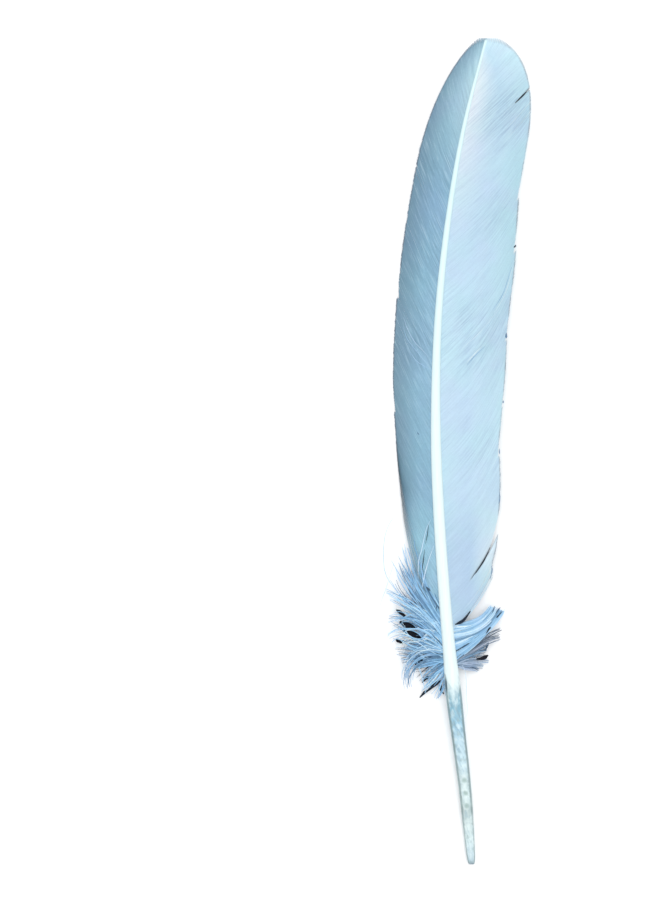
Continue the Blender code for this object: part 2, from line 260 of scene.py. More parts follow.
# How far clumps and strands go astray, which is less on the right, where they lie in order. What
# goes astray along a strand is (drift, wave), in degrees sideways and in millimetres upwards.
SPRAY_SEED = 14
FREEDOM = {LEFT: 1, RIGHT: 0.25}
HEADING_SPREAD = {LEFT: 5, RIGHT: 0.8}
LENGTH_SPREAD = {LEFT: (0.86, 1.06), RIGHT: (0.95, 1.02)}
ROOT_SPREAD = 0.3
ROOT_DEPTH = 0.18
ROOT_OUT = 0.32
BEND_POWER = 1.3
BEND_ASTRAY = (3, 11)
LIFT_ASTRAY = (0.4, 0.4)
WAVES = 3
SHORTER = 0.16
CLUMP_UNEVENNESS = 0.1
CLUMP_TONE_SPREAD = 0.08
STRAND_TONE_SPREAD = 0.14
STRAND_WIDTHS = (0.8, 1.2)
STRAND_DROOP = 1.3
CLUMP_PROFILE = ((0, 0.45), (0.25, 0.85), (0.5, 1), (0.75, 0.8), (1, 0.42))
CLUMP_FOOT = 0.2
CLUMP_OPENING = 2
LOWEST_DOWN = 0.15

# One strand, and the barbules on it
STRAND_RINGS = 22
STRAND_SIDES = 4
STRAND_FLATNESS = 0.45
STRAND_TAPER = 0.75
FOOT_SHARE = 0.35
STRAND_CREASE = 50
BARBULE_SEED = 5
BARBULE_SPACING = 0.32
BARBULE_LENGTH = 1
BARBULE_WIDTH = 0.065
BARBULE_RIDGE = 1.6
BARBULE_CROWDING = 0.35
LEAST_CROWDING = 0.5
BARBULE_PLACES = (0.1, 0.985)
BARBULE_START = 0.25
BARBULE_END = 1.08
BARBULE_ROLL = 0.45
BARBULE_LEAN = (1.1, 2.4)
BARBULE_SIZES = (0.6, 1.25)
SPIKE_FACES = ((0, 1, 3), (1, 2, 3), (2, 0, 3), (0, 2, 1))

# Gaps between the strands, as one end, the other end and half the width. The strands above part
# around them, and dark strays of painted shade lie in them.
GAPS = {
    LEFT: (((87.5, 16.5), (85, 11), 1.05), ((84.5, 15.5), (81.5, 9), 1.2),
           ((91.5, 17.5), (89, 14.5), 0.55), ((81, 19), (79.5, 17), 0.6),
           ((72.5, 12), (74.5, 9.5), 0.5), ((67.5, 8.5), (66, 10.5), 0.5)),
    RIGHT: (),
}

# Single strands and barbs that stray, as tone, half width, height above the vane's sheet and
# (station, lateral distance) places. The dark ones are painted shade rather than strands: dark
# strips deep in the gaps and under the down, at the tuft's foot and tips, in nicks of the edge and
# beside lifted barbs, whose pale tone is a painted highlight.
STRAYS = {
    LEFT: (
        (0.75, 0.13, 1.2, ((82, 2), (96, 15), (104, 20.5), (111, 21), (116, 20.5), (120, 19.5),
                           (124, 17.5), (126.5, 15))),
        (0.95, 0.15, 1.6, ((91, 24.5), (95, 23), (99.5, 21), (106, 18.5), (113.5, 15.5))),
        (0.9, 0.22, 0.5, ((94, 8.5), (101.5, 7.5), (109.5, 5), (115.5, 2.5))),
        (0.85, 0.2, 0.5, ((98, 9.5), (109, 8.5), (114, 7), (121, 5), (125, 3))),
        # Painted shade: dark strips between the strands over the vane's foot
        (0.02, 0.14, 0.4, ((106, 7.5), (111, 6.5), (114, 6))),
        (0.02, 0.12, 0.4, ((116, 5.5), (120, 4.5), (123, 4))),
        (0.1, 0.34, 0.5, ((99, 5), (100, 6), (101, 7))),
        (0.02, 0.16, 0.3, ((89.5, 3.5), (91.5, 3.5), (94.5, 3))),
        (0.82, 0.12, 0.35, ((198, 12.5), (194, 11), (189, 8), (185.5, 4.5), (183.5, 3))),
        (0.74, 0.1, 0.35, ((195, 12.5), (190.5, 11), (186, 7.5), (182.5, 4.5), (180.5, 3))),
        (0.72, 0.1, 0.3, ((187, 10.5), (182.5, 7.5), (180.5, 4.5), (179, 2))),
        # Painted shade: a dark spot, then dark strips deep in the gaps of the down and under it
        (0.3, 0.25, 0.2, ((155.5, 6), (156, 6.5), (156.5, 6.5))),
        (0, 0.75, 0.2, ((92, 18), (90.5, 16), (88.5, 14))),
        (0, 1.35, 0.2, ((87.5, 17), (86, 13.5), (85, 10))),
        (0, 1.5, 0.2, ((84.5, 16), (83, 12.5), (81, 8.5))),
        (0, 0.75, 0, ((81, 19), (80.5, 18), (79.5, 16.5))),
        (0.05, 0.7, -0.2, ((75, 9), (73.5, 11), (72, 13))),
        (0.02, 0.6, -0.4, ((68, 8), (67, 9.5), (65.5, 11))),
        (0.02, 0.75, -0.6, ((66.5, 4), (64.5, 7), (62, 10))),
        (0.02, 0.55, -0.8, ((63, 9.5), (61.5, 11), (60, 12.5))),
        (0.02, 0.6, -0.8, ((66, 4), (63.5, 4.5), (61.5, 3.5))),
        (0.7, 0.26, 1.2, ((76.5, 12), (73, 12), (68.5, 11), (61.5, 10))),
        (0.74, 0.3, 1.2, ((73, 2.5), (71, 4), (67.5, 6.5), (62, 10.5))),
        (0.72, 0.26, 1, ((70.5, 2.5), (67.5, 3.5), (65.5, 4.5), (61.5, 8))),
        (0.66, 0.22, 1, ((72.5, 2.5), (66.5, 3), (61, 3))),
    ),
    RIGHT: (
        # Lifted barbs with a painted highlight, the darker ones beside them painted shade
        (0.96, 0.09, 0.25, ((187, 9), (191.5, 14), (197, 18.5), (202, 22), (208, 24.5))),
        (1, 0.16, 0.45, ((182, 11), (186, 14.5), (188.5, 17))),
        (0.5, 0.11, 0.25, ((181, 11), (185, 14.5), (188, 17.5))),
        (1, 0.14, 0.45, ((200, 20), (205.5, 23), (211, 24.5), (217.5, 25.5))),
        (0.52, 0.1, 0.25, ((201, 19.5), (206.5, 22.5), (212, 24), (217, 25))),
        (0.96, 0.1, 0.3, ((193.5, 24), (199, 25.5), (203, 26))),
        # Painted shade: dark dots in nicks of the edge
        (0.26, 0.42, 0.25, ((191, 25), (192, 25), (193, 25))),
        (0.3, 0.28, 0.25, ((167.5, 24.5), (168, 24.5), (168.5, 24.5))),
        (0.32, 0.22, 0.2, ((149, 23), (150, 23), (151, 23))),
        (0.32, 0.2, 0.2, ((131, 22), (133, 22.5), (135.5, 22.5))),
        # Painted shade: dark strips at the tuft's foot, at its tips and under it
        (0.02, 0.62, 0.35, ((87, 3), (88.5, 6), (92, 9))),
        (0.2, 0.26, 1.85, ((91.5, 17), (93, 17.5), (94, 18))),
        (0.15, 0.26, 1.85, ((91, 18), (92.5, 19), (93.5, 20))),
        (0.05, 0.3, 1.85, ((89.5, 18), (90.5, 19), (92, 20.5))),
        (0.02, 0.32, 0.25, ((224, 25), (224.5, 25.5), (225, 25.5))),
        (0.02, 0.42, 1.9, ((87.5, 17), (86, 15.5), (84, 14))),
        (0.12, 0.5, -0.4, ((81, 14.5), (79.5, 14), (77.5, 13))),
        (0, 0.85, -0.1, ((76, 14), (75, 12), (74.5, 9.5))),
        (0.3, 0.24, 0.1, ((108.5, 18), (106.5, 18), (103.5, 17))),
        (0.9, 0.1, -1.2, ((75, 2), (72.5, 4), (70, 5), (65, 5), (61, 4.5), (57, 4.5), (54.5, 4),
                            (53, 3))),
    ),
}
STRAY_SEED = 8
STRAY_POINT = 0.3
STRAY_FLUFF = 0.15
STRAY_GREY = 0.3
DEEP_TONE = 0.3

# Flat maps: the start and width of a tube's strip and of a skin's columns, the foot and height of
# a strip, the small step that parts the corners of an end, and a barbule's points in its strip
STRIP = (0.04, 0.9)
LOFT_COLUMN = (0.01, 0.98)
STRIP_HEIGHT = (0.01, 0.97)
MAP_STEP = 0.004
SPIKE_MAP = ((0.1, 0), (0.9, 0), (0.5, 0.004), (0.74, 0.006))
SKIN_MAP_TOP = 0.8

# Camera: the photo's height on a plane through the feather, and its middle from the calamus end
PHOTO_HEIGHT = 326.8
PHOTO_MIDDLE = (-54.19, 149.35, 1)
FEATHER_LEAN = math.radians(1.075)
CAMERA_HEIGHT = 2.2
SENSOR = 36

# Floor and light
FLOOR_COLOUR = (0.93, 0.93, 0.93)
FLOOR_DIMMING = 0.985
FLOOR_NOISE = (3,)
FLOOR_LEVELS = (0.3, 0.7)
FLOOR_REACH = 8
WORLD_COLOUR = (0.97, 0.985, 1, 1)
WORLD_LIGHT = 0.92
KEY_PLACE = (0.5, 0.4, 4.9)
KEY_SIZE = 3.6
KEY_POWER = 118


# Curves of the feather, each for one distance or an array of them

def smooth_curve(stations, where):
    """Values on a smooth curve through (distance, value) stations."""
    place, value = np.array(stations, float).T
    where = np.clip(where, place[0], place[-1])
    index = np.clip(np.searchsorted(place, where, "right") - 1, 0, len(place) - 2)
    before = np.maximum(index - 1, 0)
    after = np.minimum(index + 2, len(place) - 1)
    span = place[index + 1] - place[index]
    slope_start = span * (value[index + 1] - value[before]) / (place[index + 1] - place[before])
    slope_end = span * (value[after] - value[index]) / (place[after] - place[index])
    t = (where - place[index]) / span
    return (value[index] * (2 * t ** 3 - 3 * t ** 2 + 1) + slope_start * (t ** 3 - 2 * t ** 2 + t)
            + value[index + 1] * (3 * t ** 2 - 2 * t ** 3) + slope_end * (t ** 3 - t ** 2))


def blend(low, high, where):
    """Share from 0 to 1 of the way from low to high."""
    return np.clip((where - low) / (high - low), 0, 1)


def ease(low, high, where):
    """The same share, but starting and ending gently."""
    share = blend(low, high, where)
    return share * share * (3 - 2 * share)


def shaft_middle(y):
    return smooth_curve(SHAFT_BOW, y)


def shaft_width(y):
    return smooth_curve(SHAFT_WIDTH, y)


def shaft_depth(y):
    return SHAFT_DEPTH_TO_WIDTH * shaft_width(y)


def squareness(y):
    return CALAMUS_SQUARENESS + (RACHIS_SQUARENESS - CALAMUS_SQUARENESS) * blend(
        CALAMUS_TOP, GROOVE_FULL, y)


def half_height(y):
    """Half of the shaft's height between its top and bottom facets."""
    return math.sin(LOWEST_FACET) ** (2 / squareness(y)) * shaft_depth(y) / 2


def underside(y):
    """Height of the shaft's underside above the surface it lies on."""
    lifted = END_LIFT * (1 - y / FLAT_START)
    arched = ARCH_HEIGHT * np.sin(math.pi * blend(FLAT_END, ARCH_END, y))
    return np.where(y < FLAT_START, lifted, arched)


def shaft_height(y):
    """Height of the shaft's middle."""
    return underside(y) + half_height(y)


def half_width(side, y):
    """Distance from the shaft's middle to the vane's edge."""
    rounding = np.sqrt(1 - blend(TIP_ROUND_START[side], LENGTH, y) ** 2)
    return smooth_curve(HALF_WIDTH[side], y) * rounding


def vane_height(side, y, lateral):
    """Height of the vane's middle layer: level beside the shaft and falling towards the edge."""
    root = shaft_height(y) + VANE_SEAT * shaft_depth(y)
    edge = smooth_curve(EDGE_HEIGHT[side], y)
    width = np.maximum(half_width(side, y), 1e-3)
    share = np.clip(lateral / width, 0, 1)
    return root + (edge - root) * share ** CAMBER[side]


def barb_station(side, root, lateral):
    """
    Distance along the feather that a barb has reached at a lateral distance.
    A barb starts inside the shaft, a little past its middle, and turns from its root angle
    towards its edge angle as it goes out.
    """
    out = lateral + VANE_OVERLAP
    cot_root = 1 / np.tan(np.radians(smooth_curve(BARB_ANGLE_ROOT[side], root)))
    cot_edge = 1 / np.tan(np.radians(smooth_curve(BARB_ANGLE_EDGE[side], root)))
    turned = (cot_edge - cot_root) * out ** 2 / (2 * WIDEST[side])
    swept = smooth_curve(SWEEP[side], root) * WIDEST[side] * (out / WIDEST[side]) ** SWEEP_POWER
    return root + cot_root * out + turned + swept


def barb_reach(side, root):
    """Lateral distance at which a barb meets the vane's edge, found by halving."""
    low = np.full(np.shape(root), -VANE_OVERLAP)
    high = np.full(np.shape(root), WIDEST[side])
    for _ in range(HALVINGS):
        middle = (low + high) / 2
        station = barb_station(side, root, middle)
        inside = (station < LENGTH) & (middle < half_width(side, station))
        low = np.where(inside, middle, low)
        high = np.where(inside, high, middle)
    return low


# Meshes

def to_metres(points):
    """Points from the calamus end in millimetres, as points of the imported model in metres."""
    moved = np.array(points, float)
    moved[..., 0] += FOOT_X
    moved *= MM
    moved[..., 1] += cad_low.y
    return moved


def add_to_scene(name, data):
    """An object in the scene."""
    item = bpy.data.objects.new(name, data)
    bpy.context.scene.collection.objects.link(item)
    return item


def mesh_object(name, points, faces, maps, values, smooth_below):
    """
    An object from points, equal-sided face arrays, flat maps of the faces' corners, and named
    numbers for each point. Edges that turn less than smooth_below degrees are shaded smooth.
    """
    data = bpy.data.meshes.new(name)
    data.from_pydata(to_metres(points), [], [face for part in faces for face in part.tolist()])
    for key, numbers in values.items():
        layer = data.attributes.new(key, "FLOAT", "POINT")
        layer.data.foreach_set("value", numbers.astype(np.float32).ravel())
    layer = data.uv_layers.new(name="OFBake")
    layer.uv.foreach_set("vector", np.concatenate([part.ravel() for part in maps]).astype(np.float32))
    data.shade_smooth()
    data.set_sharp_from_angle(angle=math.radians(smooth_below))
    data.validate()
    return add_to_scene(name, data)


def walls_between(grid):
    """Quads between the closed rings of a (ring, side) grid of point numbers, or of several."""
    ahead = np.roll(grid, -1, axis=-1)
    quad = (grid[..., :-1, :], ahead[..., :-1, :], ahead[..., 1:, :], grid[..., 1:, :])
    return np.stack(quad, axis=-1).reshape(-1, 4)


def wall_map(left, right, up):
    """The same quads in a flat map, from the left, right and height of each ring's stretches."""
    low, high = np.s_[..., :-1, :], np.s_[..., 1:, :]
    quad = (left[low], up[low], right[low], up[low], right[high], up[high], left[high], up[high])
    return np.stack(quad, axis=-1).reshape(-1, 4, 2)


def tube_faces(tubes, rings, sides):
    """Quads along closed tubes and one face on each end, for points in tube, ring, side order."""
    grid = np.arange(tubes * rings * sides).reshape(tubes, rings, sides)
    return [walls_between(grid), np.concatenate([grid[:, 0, ::-1], grid[:, -1]])]


def tube_map(tubes, rings, sides, along):
    """A flat map for tube_faces: one upright strip for each tube, drawn once round it."""
    side = np.arange(sides)
    start = np.arange(tubes)[:, None, None] + STRIP[0]
    left, right, up = (np.broadcast_to(place, (tubes, rings, sides)) for place in (
        (start + STRIP[1] * side / sides) / tubes,
        (start + STRIP[1] * (side + 1) / sides) / tubes,
        STRIP_HEIGHT[0] + STRIP_HEIGHT[1] * along[:, None]))
    ends = np.stack([left, up + MAP_STEP * (side % 2)], axis=-1)
    return [wall_map(left, right, up), np.concatenate([ends[:, 0, ::-1], ends[:, -1]])]


# Vanes

def barb_roots(side):
    """Stations where barbs leave the shaft, spaced so that the barbs are equally wide."""
    fine = np.linspace(FIRST_BARB[side], LAST_BARB, ROOT_SAMPLES)
    at_root = smooth_curve(BARB_ANGLE_ROOT[side], fine)
    at_edge = smooth_curve(BARB_ANGLE_EDGE[side], fine)
    sine = np.maximum(np.sin(np.radians((at_root + at_edge) / 2)), LEAST_SINE)
    passed = np.concatenate([[0], np.cumsum(sine[1:] * np.diff(fine) / BARB_WIDTH)])
    return np.interp(np.linspace(0, passed[-1], int(passed[-1])), passed, fine)


def clumps(chance, count):
    """For each barb, the number of its clump and its place in it from -1 to 1."""
    number = np.zeros(count, int)
    place = np.zeros(count)
    start = index = 0
    while start < count:
        size = min(int(chance.integers(*CLUMP_SIZES)), count - start)
        number[start:start + size] = index
        place[start:start + size] = np.linspace(-1, 1, size) if size > 1 else 0
        start += size
        index += 1
    return number, place


def split_roots(side):
    """The splits of a vane with the station of the barb root in place of that at the edge."""
    roots = barb_roots(side)
    tips = barb_station(side, roots, barb_reach(side, roots))
    return [(np.interp(station, tips, roots), inner_end, opening, cut)
            for station, inner_end, opening, cut in SPLITS[side]]


def split_shift(splits, root, lateral, reach):
    """How far a barb bends back towards the calamus to open the split above it."""
    return sum(opening * np.where(root < station, blend(station - SPLIT_FADE, station, root), 0)
               * np.maximum(lateral - inner_end * reach, 0)
               for station, inner_end, opening, _ in splits)


def split_cut(splits, root):
    """How much shorter a barb is for the split below it."""
    return sum(cut * np.where(root < station, 0, 1 - blend(station, station + SPLIT_CUT_FADE, root))
               ** SPLIT_CUT_POWER for station, _, _, cut in splits)


def split_shade(splits, root, out):
    """1 on the barbs beside a split, where they stand in each other's shade, and 0 elsewhere."""
    return sum((np.exp(-((root - station) / SPLIT_SHADE_REACH) ** 2)
                * ease(inner_end + SPLIT_SHADE_EDGE[0], inner_end + SPLIT_SHADE_EDGE[1], out)
                for station, inner_end, _, _ in splits), 0 * root)


def ruffle_at(side, station, lateral):
    """1 in the middle of a ruffled patch of the vane, falling to 0 outside it."""
    patches = (strength * np.exp(-((station - middle) ** 2 + (lateral - out) ** 2) / reach ** 2)
               for middle, out, reach, strength in RUFFLED[side])
    return np.minimum(sum(patches), 1)


def nick_at(side, station):
    """How much a barb that ends at this station is shorter for a nick in the edge."""
    away = (np.where(station < nick, (nick - station) / NICK_DOWN, (station - nick) / NICK_UP)
            for nick in NICKS[side])
    return NICK_DEPTH * sum(np.clip(1 - share, 0, 1) ** 2 for share in away)


def edge_distance(side, station, lateral):
    """Distance from the vane's edge, in its plane."""
    along = LENGTH - (LENGTH - FIRST_BARB[side]) * np.linspace(1, 0, EDGE_SAMPLES) ** 2
    outline = np.stack([along, half_width(side, along)], axis=-1)
    flat = np.stack([station.ravel(), lateral.ravel()], axis=-1)
    nearest = [np.linalg.norm(outline - place, axis=1).min() for place in flat]
    return np.array(nearest).reshape(station.shape)


def build_vane(side, name):
    """All barbs of one vane as closed strips that lie on each other like shingles."""
    chance = np.random.default_rng(VANE_SEED + side)
    root = barb_roots(side)[:, None]
    number, place = clumps(chance, len(root))
    of_clump = chance.normal(0, 1, (4, number.max() + 1))[:, number, None]
    of_barb = chance.normal(0, 1, (4, len(root)))[:, :, None]
    gap = np.gradient(root, axis=0)
    out = 1 - (1 - np.linspace(0, 1, BARB_RINGS)) ** RING_CROWDING
    loose = 1 - ease(*LOOSE_ROOTS[side], root)
    splits = split_roots(side)

    # Every barb's middle line, from the shaft out to the edge
    reach = barb_reach(side, root)
    tip = barb_station(side, root, reach)
    trim = TRIM * (of_barb[0] + of_clump[0]) * (1 - ease(*EVEN_TIPS, tip))
    reach = reach + np.minimum(trim, TRIM_LIMIT) - nick_at(side, tip) - split_cut(splits, root)
    lateral = (reach + VANE_OVERLAP) * out - VANE_OVERLAP
    station = barb_station(side, root, lateral)
    ruffle = ruffle_at(side, station, lateral)
    pinch = (PINCH[0] + PINCH[1] * ruffle) * np.abs(of_clump[1]) * place[:, None] * gap
    slip = loose * (LOOSE_SLIP[0] * of_barb[1] + LOOSE_SLIP[1] * of_clump[2])
    slip = slip * out ** SLIP_POWER - pinch * out ** PINCH_POWER
    lift = (CLUMP_LIFT[0] + CLUMP_LIFT[1] * ruffle) * of_clump[3] + BARB_LIFT * of_barb[2]
    lift = lift * out ** LIFT_POWER + loose * out * LOOSE_LIFT * of_barb[3]

    # Its section, which tapers to the tip
    across, rise = np.array(BARB_SECTION).T
    taper = np.sqrt(1 - blend(*TIP_TAPER, out) ** 2)
    fan = barb_station(side, root + FAN_STEP, lateral) - barb_station(side, root - FAN_STEP, lateral)
    half = gap / 2 * fan / (2 * FAN_STEP) * BARB_OVERLAP * taper
    half *= 1 - LOOSE_THINNING * loose * out ** THINNING_POWER
    thick = np.clip(reach / FULL_THICKNESS_REACH, THINNEST, 1)
    thick = thick * (TIP_THICKNESS + (1 - TIP_THICKNESS) * taper)
    y = (station - split_shift(splits, root, lateral, reach) + slip)[:, :, None]
    y = np.minimum(y + across * half[:, :, None], LENGTH - TIP_MARGIN)
    wide = lateral[:, :, None]
    z = vane_height(side, y, wide) + lift[:, :, None] + rise * thick[:, :, None]
    points = np.stack([shaft_middle(y) + side * wide, y, np.maximum(z, LOWEST_BARB)], axis=-1)
    if side == LEFT:
        points = points[:, :, ::-1]
        across = across[::-1]

    steps = np.linalg.norm(np.diff(points.mean(axis=2), axis=1), axis=2)
    shape = points.shape[:3]
    values = {
        "along": np.pad(np.cumsum(steps, axis=1), ((0, 0), (1, 0))),
        "tone": (of_clump[0] + of_barb[0]) / 2,
        "root": root,
        "out": out[None],
        "ruffle": np.maximum(ruffle, LOOSE_RUFFLE * loose),
        "shade": split_shade(splits, root, out),
        "margin": edge_distance(side, station, lateral),
        "station": station,
    }
    values = {key: np.broadcast_to(numbers[:, :, None], shape) for key, numbers in values.items()}
    values["across"] = np.broadcast_to(across, shape)
    maps = tube_map(*shape, out)
    return mesh_object(name, points.reshape(-1, 3), tube_faces(*shape), maps, values, VANE_CREASE)


# Down

def clump_guides(side, chance, spray):
    """Root, headings and length of each clump of a spray."""
    for share in np.linspace(0, 1, spray.clumps):
        root, leave, arrive, length = (
            first + (last - first) * share
            for first, last in (spray.roots, spray.leave, spray.arrive, spray.length))
        turn = chance.normal(0, HEADING_SPREAD[side])
        yield root, leave + turn, arrive + turn, length * chance.uniform(*LENGTH_SPREAD[side])


def lateral_of(side, flat):
    """Distance of points (x, y) from the shaft's middle."""
    return side * (flat[:, 0] - shaft_middle(flat[:, 1]))


def beside_gap(side, flat, gap):
    """
    Where points (x, y) lie from the middle of a gap: along it, as a share of half its length,
    and off it. Gives the gap's direction too, as (station, lateral).
    """
    one, other = np.array(gap[0]), np.array(gap[1])
    axis = (other - one) / 2
    reach = np.linalg.norm(axis)
    axis /= reach
    away = np.stack([flat[:, 1], lateral_of(side, flat)], axis=-1) - (one + other) / 2
    return away @ axis / reach, away @ np.array([-axis[1], axis[0]]), axis


def part_strand(side, flat):
    """A strand's points (x, y), led round the gaps that it would cross."""
    for gap in GAPS[side]:
        along, off, axis = beside_gap(side, flat, gap)
        lens = np.clip(1 - along ** 2, 0, 1)
        if lens.any():
            hand = 1 if off[lens > 0].mean() > 0 else -1
            shift = (hand * np.sqrt(off ** 2 + gap[2] ** 2 * lens) - off) * np.sqrt(lens)
            station = flat[:, 1] - shift * axis[1]
            lateral = lateral_of(side, flat) + shift * axis[0]
            flat = np.stack([shaft_middle(station) + side * lateral, station], axis=-1)
    return flat


def outside_gaps(side, flat):
    """1 for points (x, y) outside the gaps, and 0 in the middle of one."""
    clear = np.ones(len(flat))
    for gap in GAPS[side]:
        along, off, _ = beside_gap(side, flat, gap)
        clear = np.minimum(clear, np.hypot(along, off / gap[2]))
    return clear


def smoothed(values):
    """A value for each ring of a strand, on a smooth curve through evenly spaced values."""
    stations = list(zip(np.linspace(0, 1, len(values)), values))
    return smooth_curve(stations, np.linspace(0, 1, STRAND_RINGS))


def strand_path(side, chance, guide, spray, spread):
    """One wavy strand of a clump: its middle line from the shaft to its tip."""
    root, leave, arrive, length = guide
    freedom = FREEDOM[side]
    share = np.linspace(0, 1, STRAND_RINGS)

    def astray(drift, wave):
        away = chance.normal(0, drift) + smoothed(chance.uniform(-wave, wave, WAVES + 2))
        return freedom * away * share

    start_y = root + chance.normal(0, ROOT_SPREAD * freedom)
    start_z = shaft_height(start_y) - shaft_depth(start_y) * chance.uniform(0, ROOT_DEPTH)
    start = np.array([shaft_middle(start_y) + side * ROOT_OUT * shaft_width(start_y), start_y])
    bend = np.radians(leave + (arrive - leave) * share ** BEND_POWER + astray(*BEND_ASTRAY))
    step = length * chance.uniform(1 - SHORTER * freedom, 1) / (STRAND_RINGS - 1)
    forward = np.stack([side * np.sin(bend), np.cos(bend)], axis=-1)
    flat = start + np.concatenate([[[0, 0]], np.cumsum(forward[1:] * step, axis=0)])
    sideways = np.stack([forward[:, 1], -forward[:, 0]], axis=-1)
    swell = smooth_curve(CLUMP_PROFILE, share)
    swell *= np.minimum(1, CLUMP_FOOT + CLUMP_OPENING * share)
    flat = flat + sideways * (spread * spray.width / 2 * swell)[:, None]
    height = start_z + (spray.tip_height - start_z) * share ** STRAND_DROOP + astray(*LIFT_ASTRAY)
    if spray.tone > DEEP_TONE:
        flat = part_strand(side, flat)
    return np.column_stack([flat, np.maximum(height, LOWEST_DOWN)])


def spray_strands(side, sprays, chance):
    """Path, tone, half width, fluff and greyness of every strand of some sprays."""
    strands = []
    for spray in sprays:
        for guide in clump_guides(side, chance, spray):
            shade = CLUMP_TONE_SPREAD * chance.normal()
            uneven = chance.normal(0, CLUMP_UNEVENNESS, spray.strands)
            for spread in np.linspace(-1, 1, spray.strands) + uneven:
                path = strand_path(side, chance, guide, spray, spread)
                tone = spray.tone + shade + STRAND_TONE_SPREAD * chance.normal()
                half_width = spray.half_width * chance.uniform(*STRAND_WIDTHS)
                strands.append((path, tone, half_width, spray.fluff, spray.grey))
    return strands


def sheet_strand(side, station, lateral, height, tone, half_width):
    """The same for one strand above the vane's sheet, with few barbules."""
    sheet = vane_height(side, np.maximum(station, FIRST_BARB[side]), lateral)
    path = np.column_stack([shaft_middle(station) + side * lateral, station, sheet + height])
    return path, tone, half_width, STRAY_FLUFF, STRAY_GREY


def stray_strands(side):
    """The same for all strands that stray, and for a dark strip of painted shade deep in each split.
    """
    strands = []
    for tone, half_width, height, places in STRAYS[side]:
        station, lateral = (smoothed(line) for line in zip(*places))
        strands.append(sheet_strand(side, station, lateral, height, tone, half_width))
    # A dark strip of painted shade along each split
    for root, inner_end, opening, cut in split_roots(side):
        reach = barb_reach(side, root) - cut
        out = np.linspace(SPLIT_OUTER_END, inner_end, STRAND_RINGS)
        station = barb_station(side, root, reach * out) - opening * reach * (out - inner_end) / 2
        strands.append(sheet_strand(side, station, reach * out, 0, 0, SPLIT_HALF_WIDTH))
    return strands


def across_of(paths):
    """Forward, sideways and upward directions along each path."""
    forward = np.gradient(paths, axis=1)
    forward /= np.linalg.norm(forward, axis=2, keepdims=True)
    sideways = np.cross(forward, [0, 0, 1])
    sideways /= np.maximum(np.linalg.norm(sideways, axis=2, keepdims=True), 1e-6)
    return forward, sideways, np.cross(sideways, forward)


def barbules(side, chance, paths, fluff):
    """
    Barbules of every strand, as thin closed spikes of four points each.
    Gives the points, and for each barbule its strand and its share of the strand's length.
    """
    lengths = np.linalg.norm(np.diff(paths, axis=1), axis=2).sum(axis=1)
    crowding = np.clip(BARBULE_CROWDING + fluff, LEAST_CROWDING, 1)
    counts = (lengths / BARBULE_SPACING * crowding).astype(int) * 2
    strand = np.repeat(np.arange(len(paths)), counts)
    share = chance.uniform(*BARBULE_PLACES, len(strand))
    ring = share * (STRAND_RINGS - 1)
    low = ring.astype(int)
    part = (ring - low)[:, None]
    base, ahead, out, up = (values[strand, low] * (1 - part) + values[strand, low + 1] * part
                            for values in (paths, *across_of(paths)))
    hand = np.where(np.arange(len(strand)) % 2, 1, -1)[:, None]
    roll = chance.normal(0, BARBULE_ROLL, len(strand))[:, None]
    lean = chance.uniform(*BARBULE_LEAN, len(strand))[:, None]
    direction = ahead * lean + out * hand * np.cos(roll) + up * np.sin(roll)
    direction /= np.linalg.norm(direction, axis=1, keepdims=True)
    fade = np.sqrt(np.clip(BARBULE_END - share, 0, 1) * ease(0, BARBULE_START, share))
    size = BARBULE_LENGTH * fluff[strand] * fade * chance.uniform(*BARBULE_SIZES, len(strand))
    size *= outside_gaps(side, (base + direction * size[:, None])[:, :2])
    tip = base + direction * size[:, None]
    tip[:, 2] = np.maximum(tip[:, 2], LOWEST_DOWN)
    half = BARBULE_WIDTH / 2
    ridge = base + up * half * BARBULE_RIDGE
    foot = ahead * half * hand
    return np.stack([base + foot, base - foot, ridge, tip], axis=1), strand, share


def build_strands(name, side, strands, seed, foot=1):
    """
    Strands as thin flat tapered tubes, each with barbules on both sides. Foot is the width at
    a strand's start as a share of its full width.
    """
    chance = np.random.default_rng(seed)
    paths, tone, half_width, fluff, grey = (np.array(part) for part in zip(*strands))
    _, sideways, upward = across_of(paths)
    along = np.linspace(0, 1, STRAND_RINGS)
    taper = (1 - STRAND_TAPER * along ** 2) * (foot + (1 - foot) * ease(0, FOOT_SHARE, along))
    angle = 2 * math.pi * np.arange(STRAND_SIDES)[::-1, None] / STRAND_SIDES
    ring = sideways[:, :, None] * np.cos(angle) + upward[:, :, None] * np.sin(angle) * STRAND_FLATNESS
    tubes = paths[:, :, None] + ring * (half_width[:, None] * taper)[:, :, None, None]
    spikes, strand, share = barbules(side, chance, paths, fluff)
    corner = tubes.size // 3 + np.arange(len(spikes) * 4).reshape(-1, 4)
    points = np.concatenate([tubes.reshape(-1, 3), spikes.reshape(-1, 3)])
    values = {key: np.concatenate([np.repeat(of_strand, STRAND_RINGS * STRAND_SIDES),
                                   np.repeat(of_strand[strand], 4)])
              for key, of_strand in (("tone", tone), ("grey", grey))}

    spread, rise = np.array(SPIKE_MAP).T
    spike_map = np.stack([(strand[:, None] + spread) / len(paths),
                          STRIP_HEIGHT[0] + STRIP_HEIGHT[1] * share[:, None] + rise], axis=-1)
    shape = tubes.shape[:3]
    faces = tube_faces(*shape) + [corner[:, order] for order in SPIKE_FACES]
    maps = tube_map(*shape, along) + [spike_map[:, order] for order in SPIKE_FACES]
    return mesh_object(name, points, faces, maps, values, STRAND_CREASE)


# Shaft

def shaft_axis(y):
    """Points in the middle of the shaft."""
    return np.stack([shaft_middle(y), y, shaft_height(y)], axis=-1)


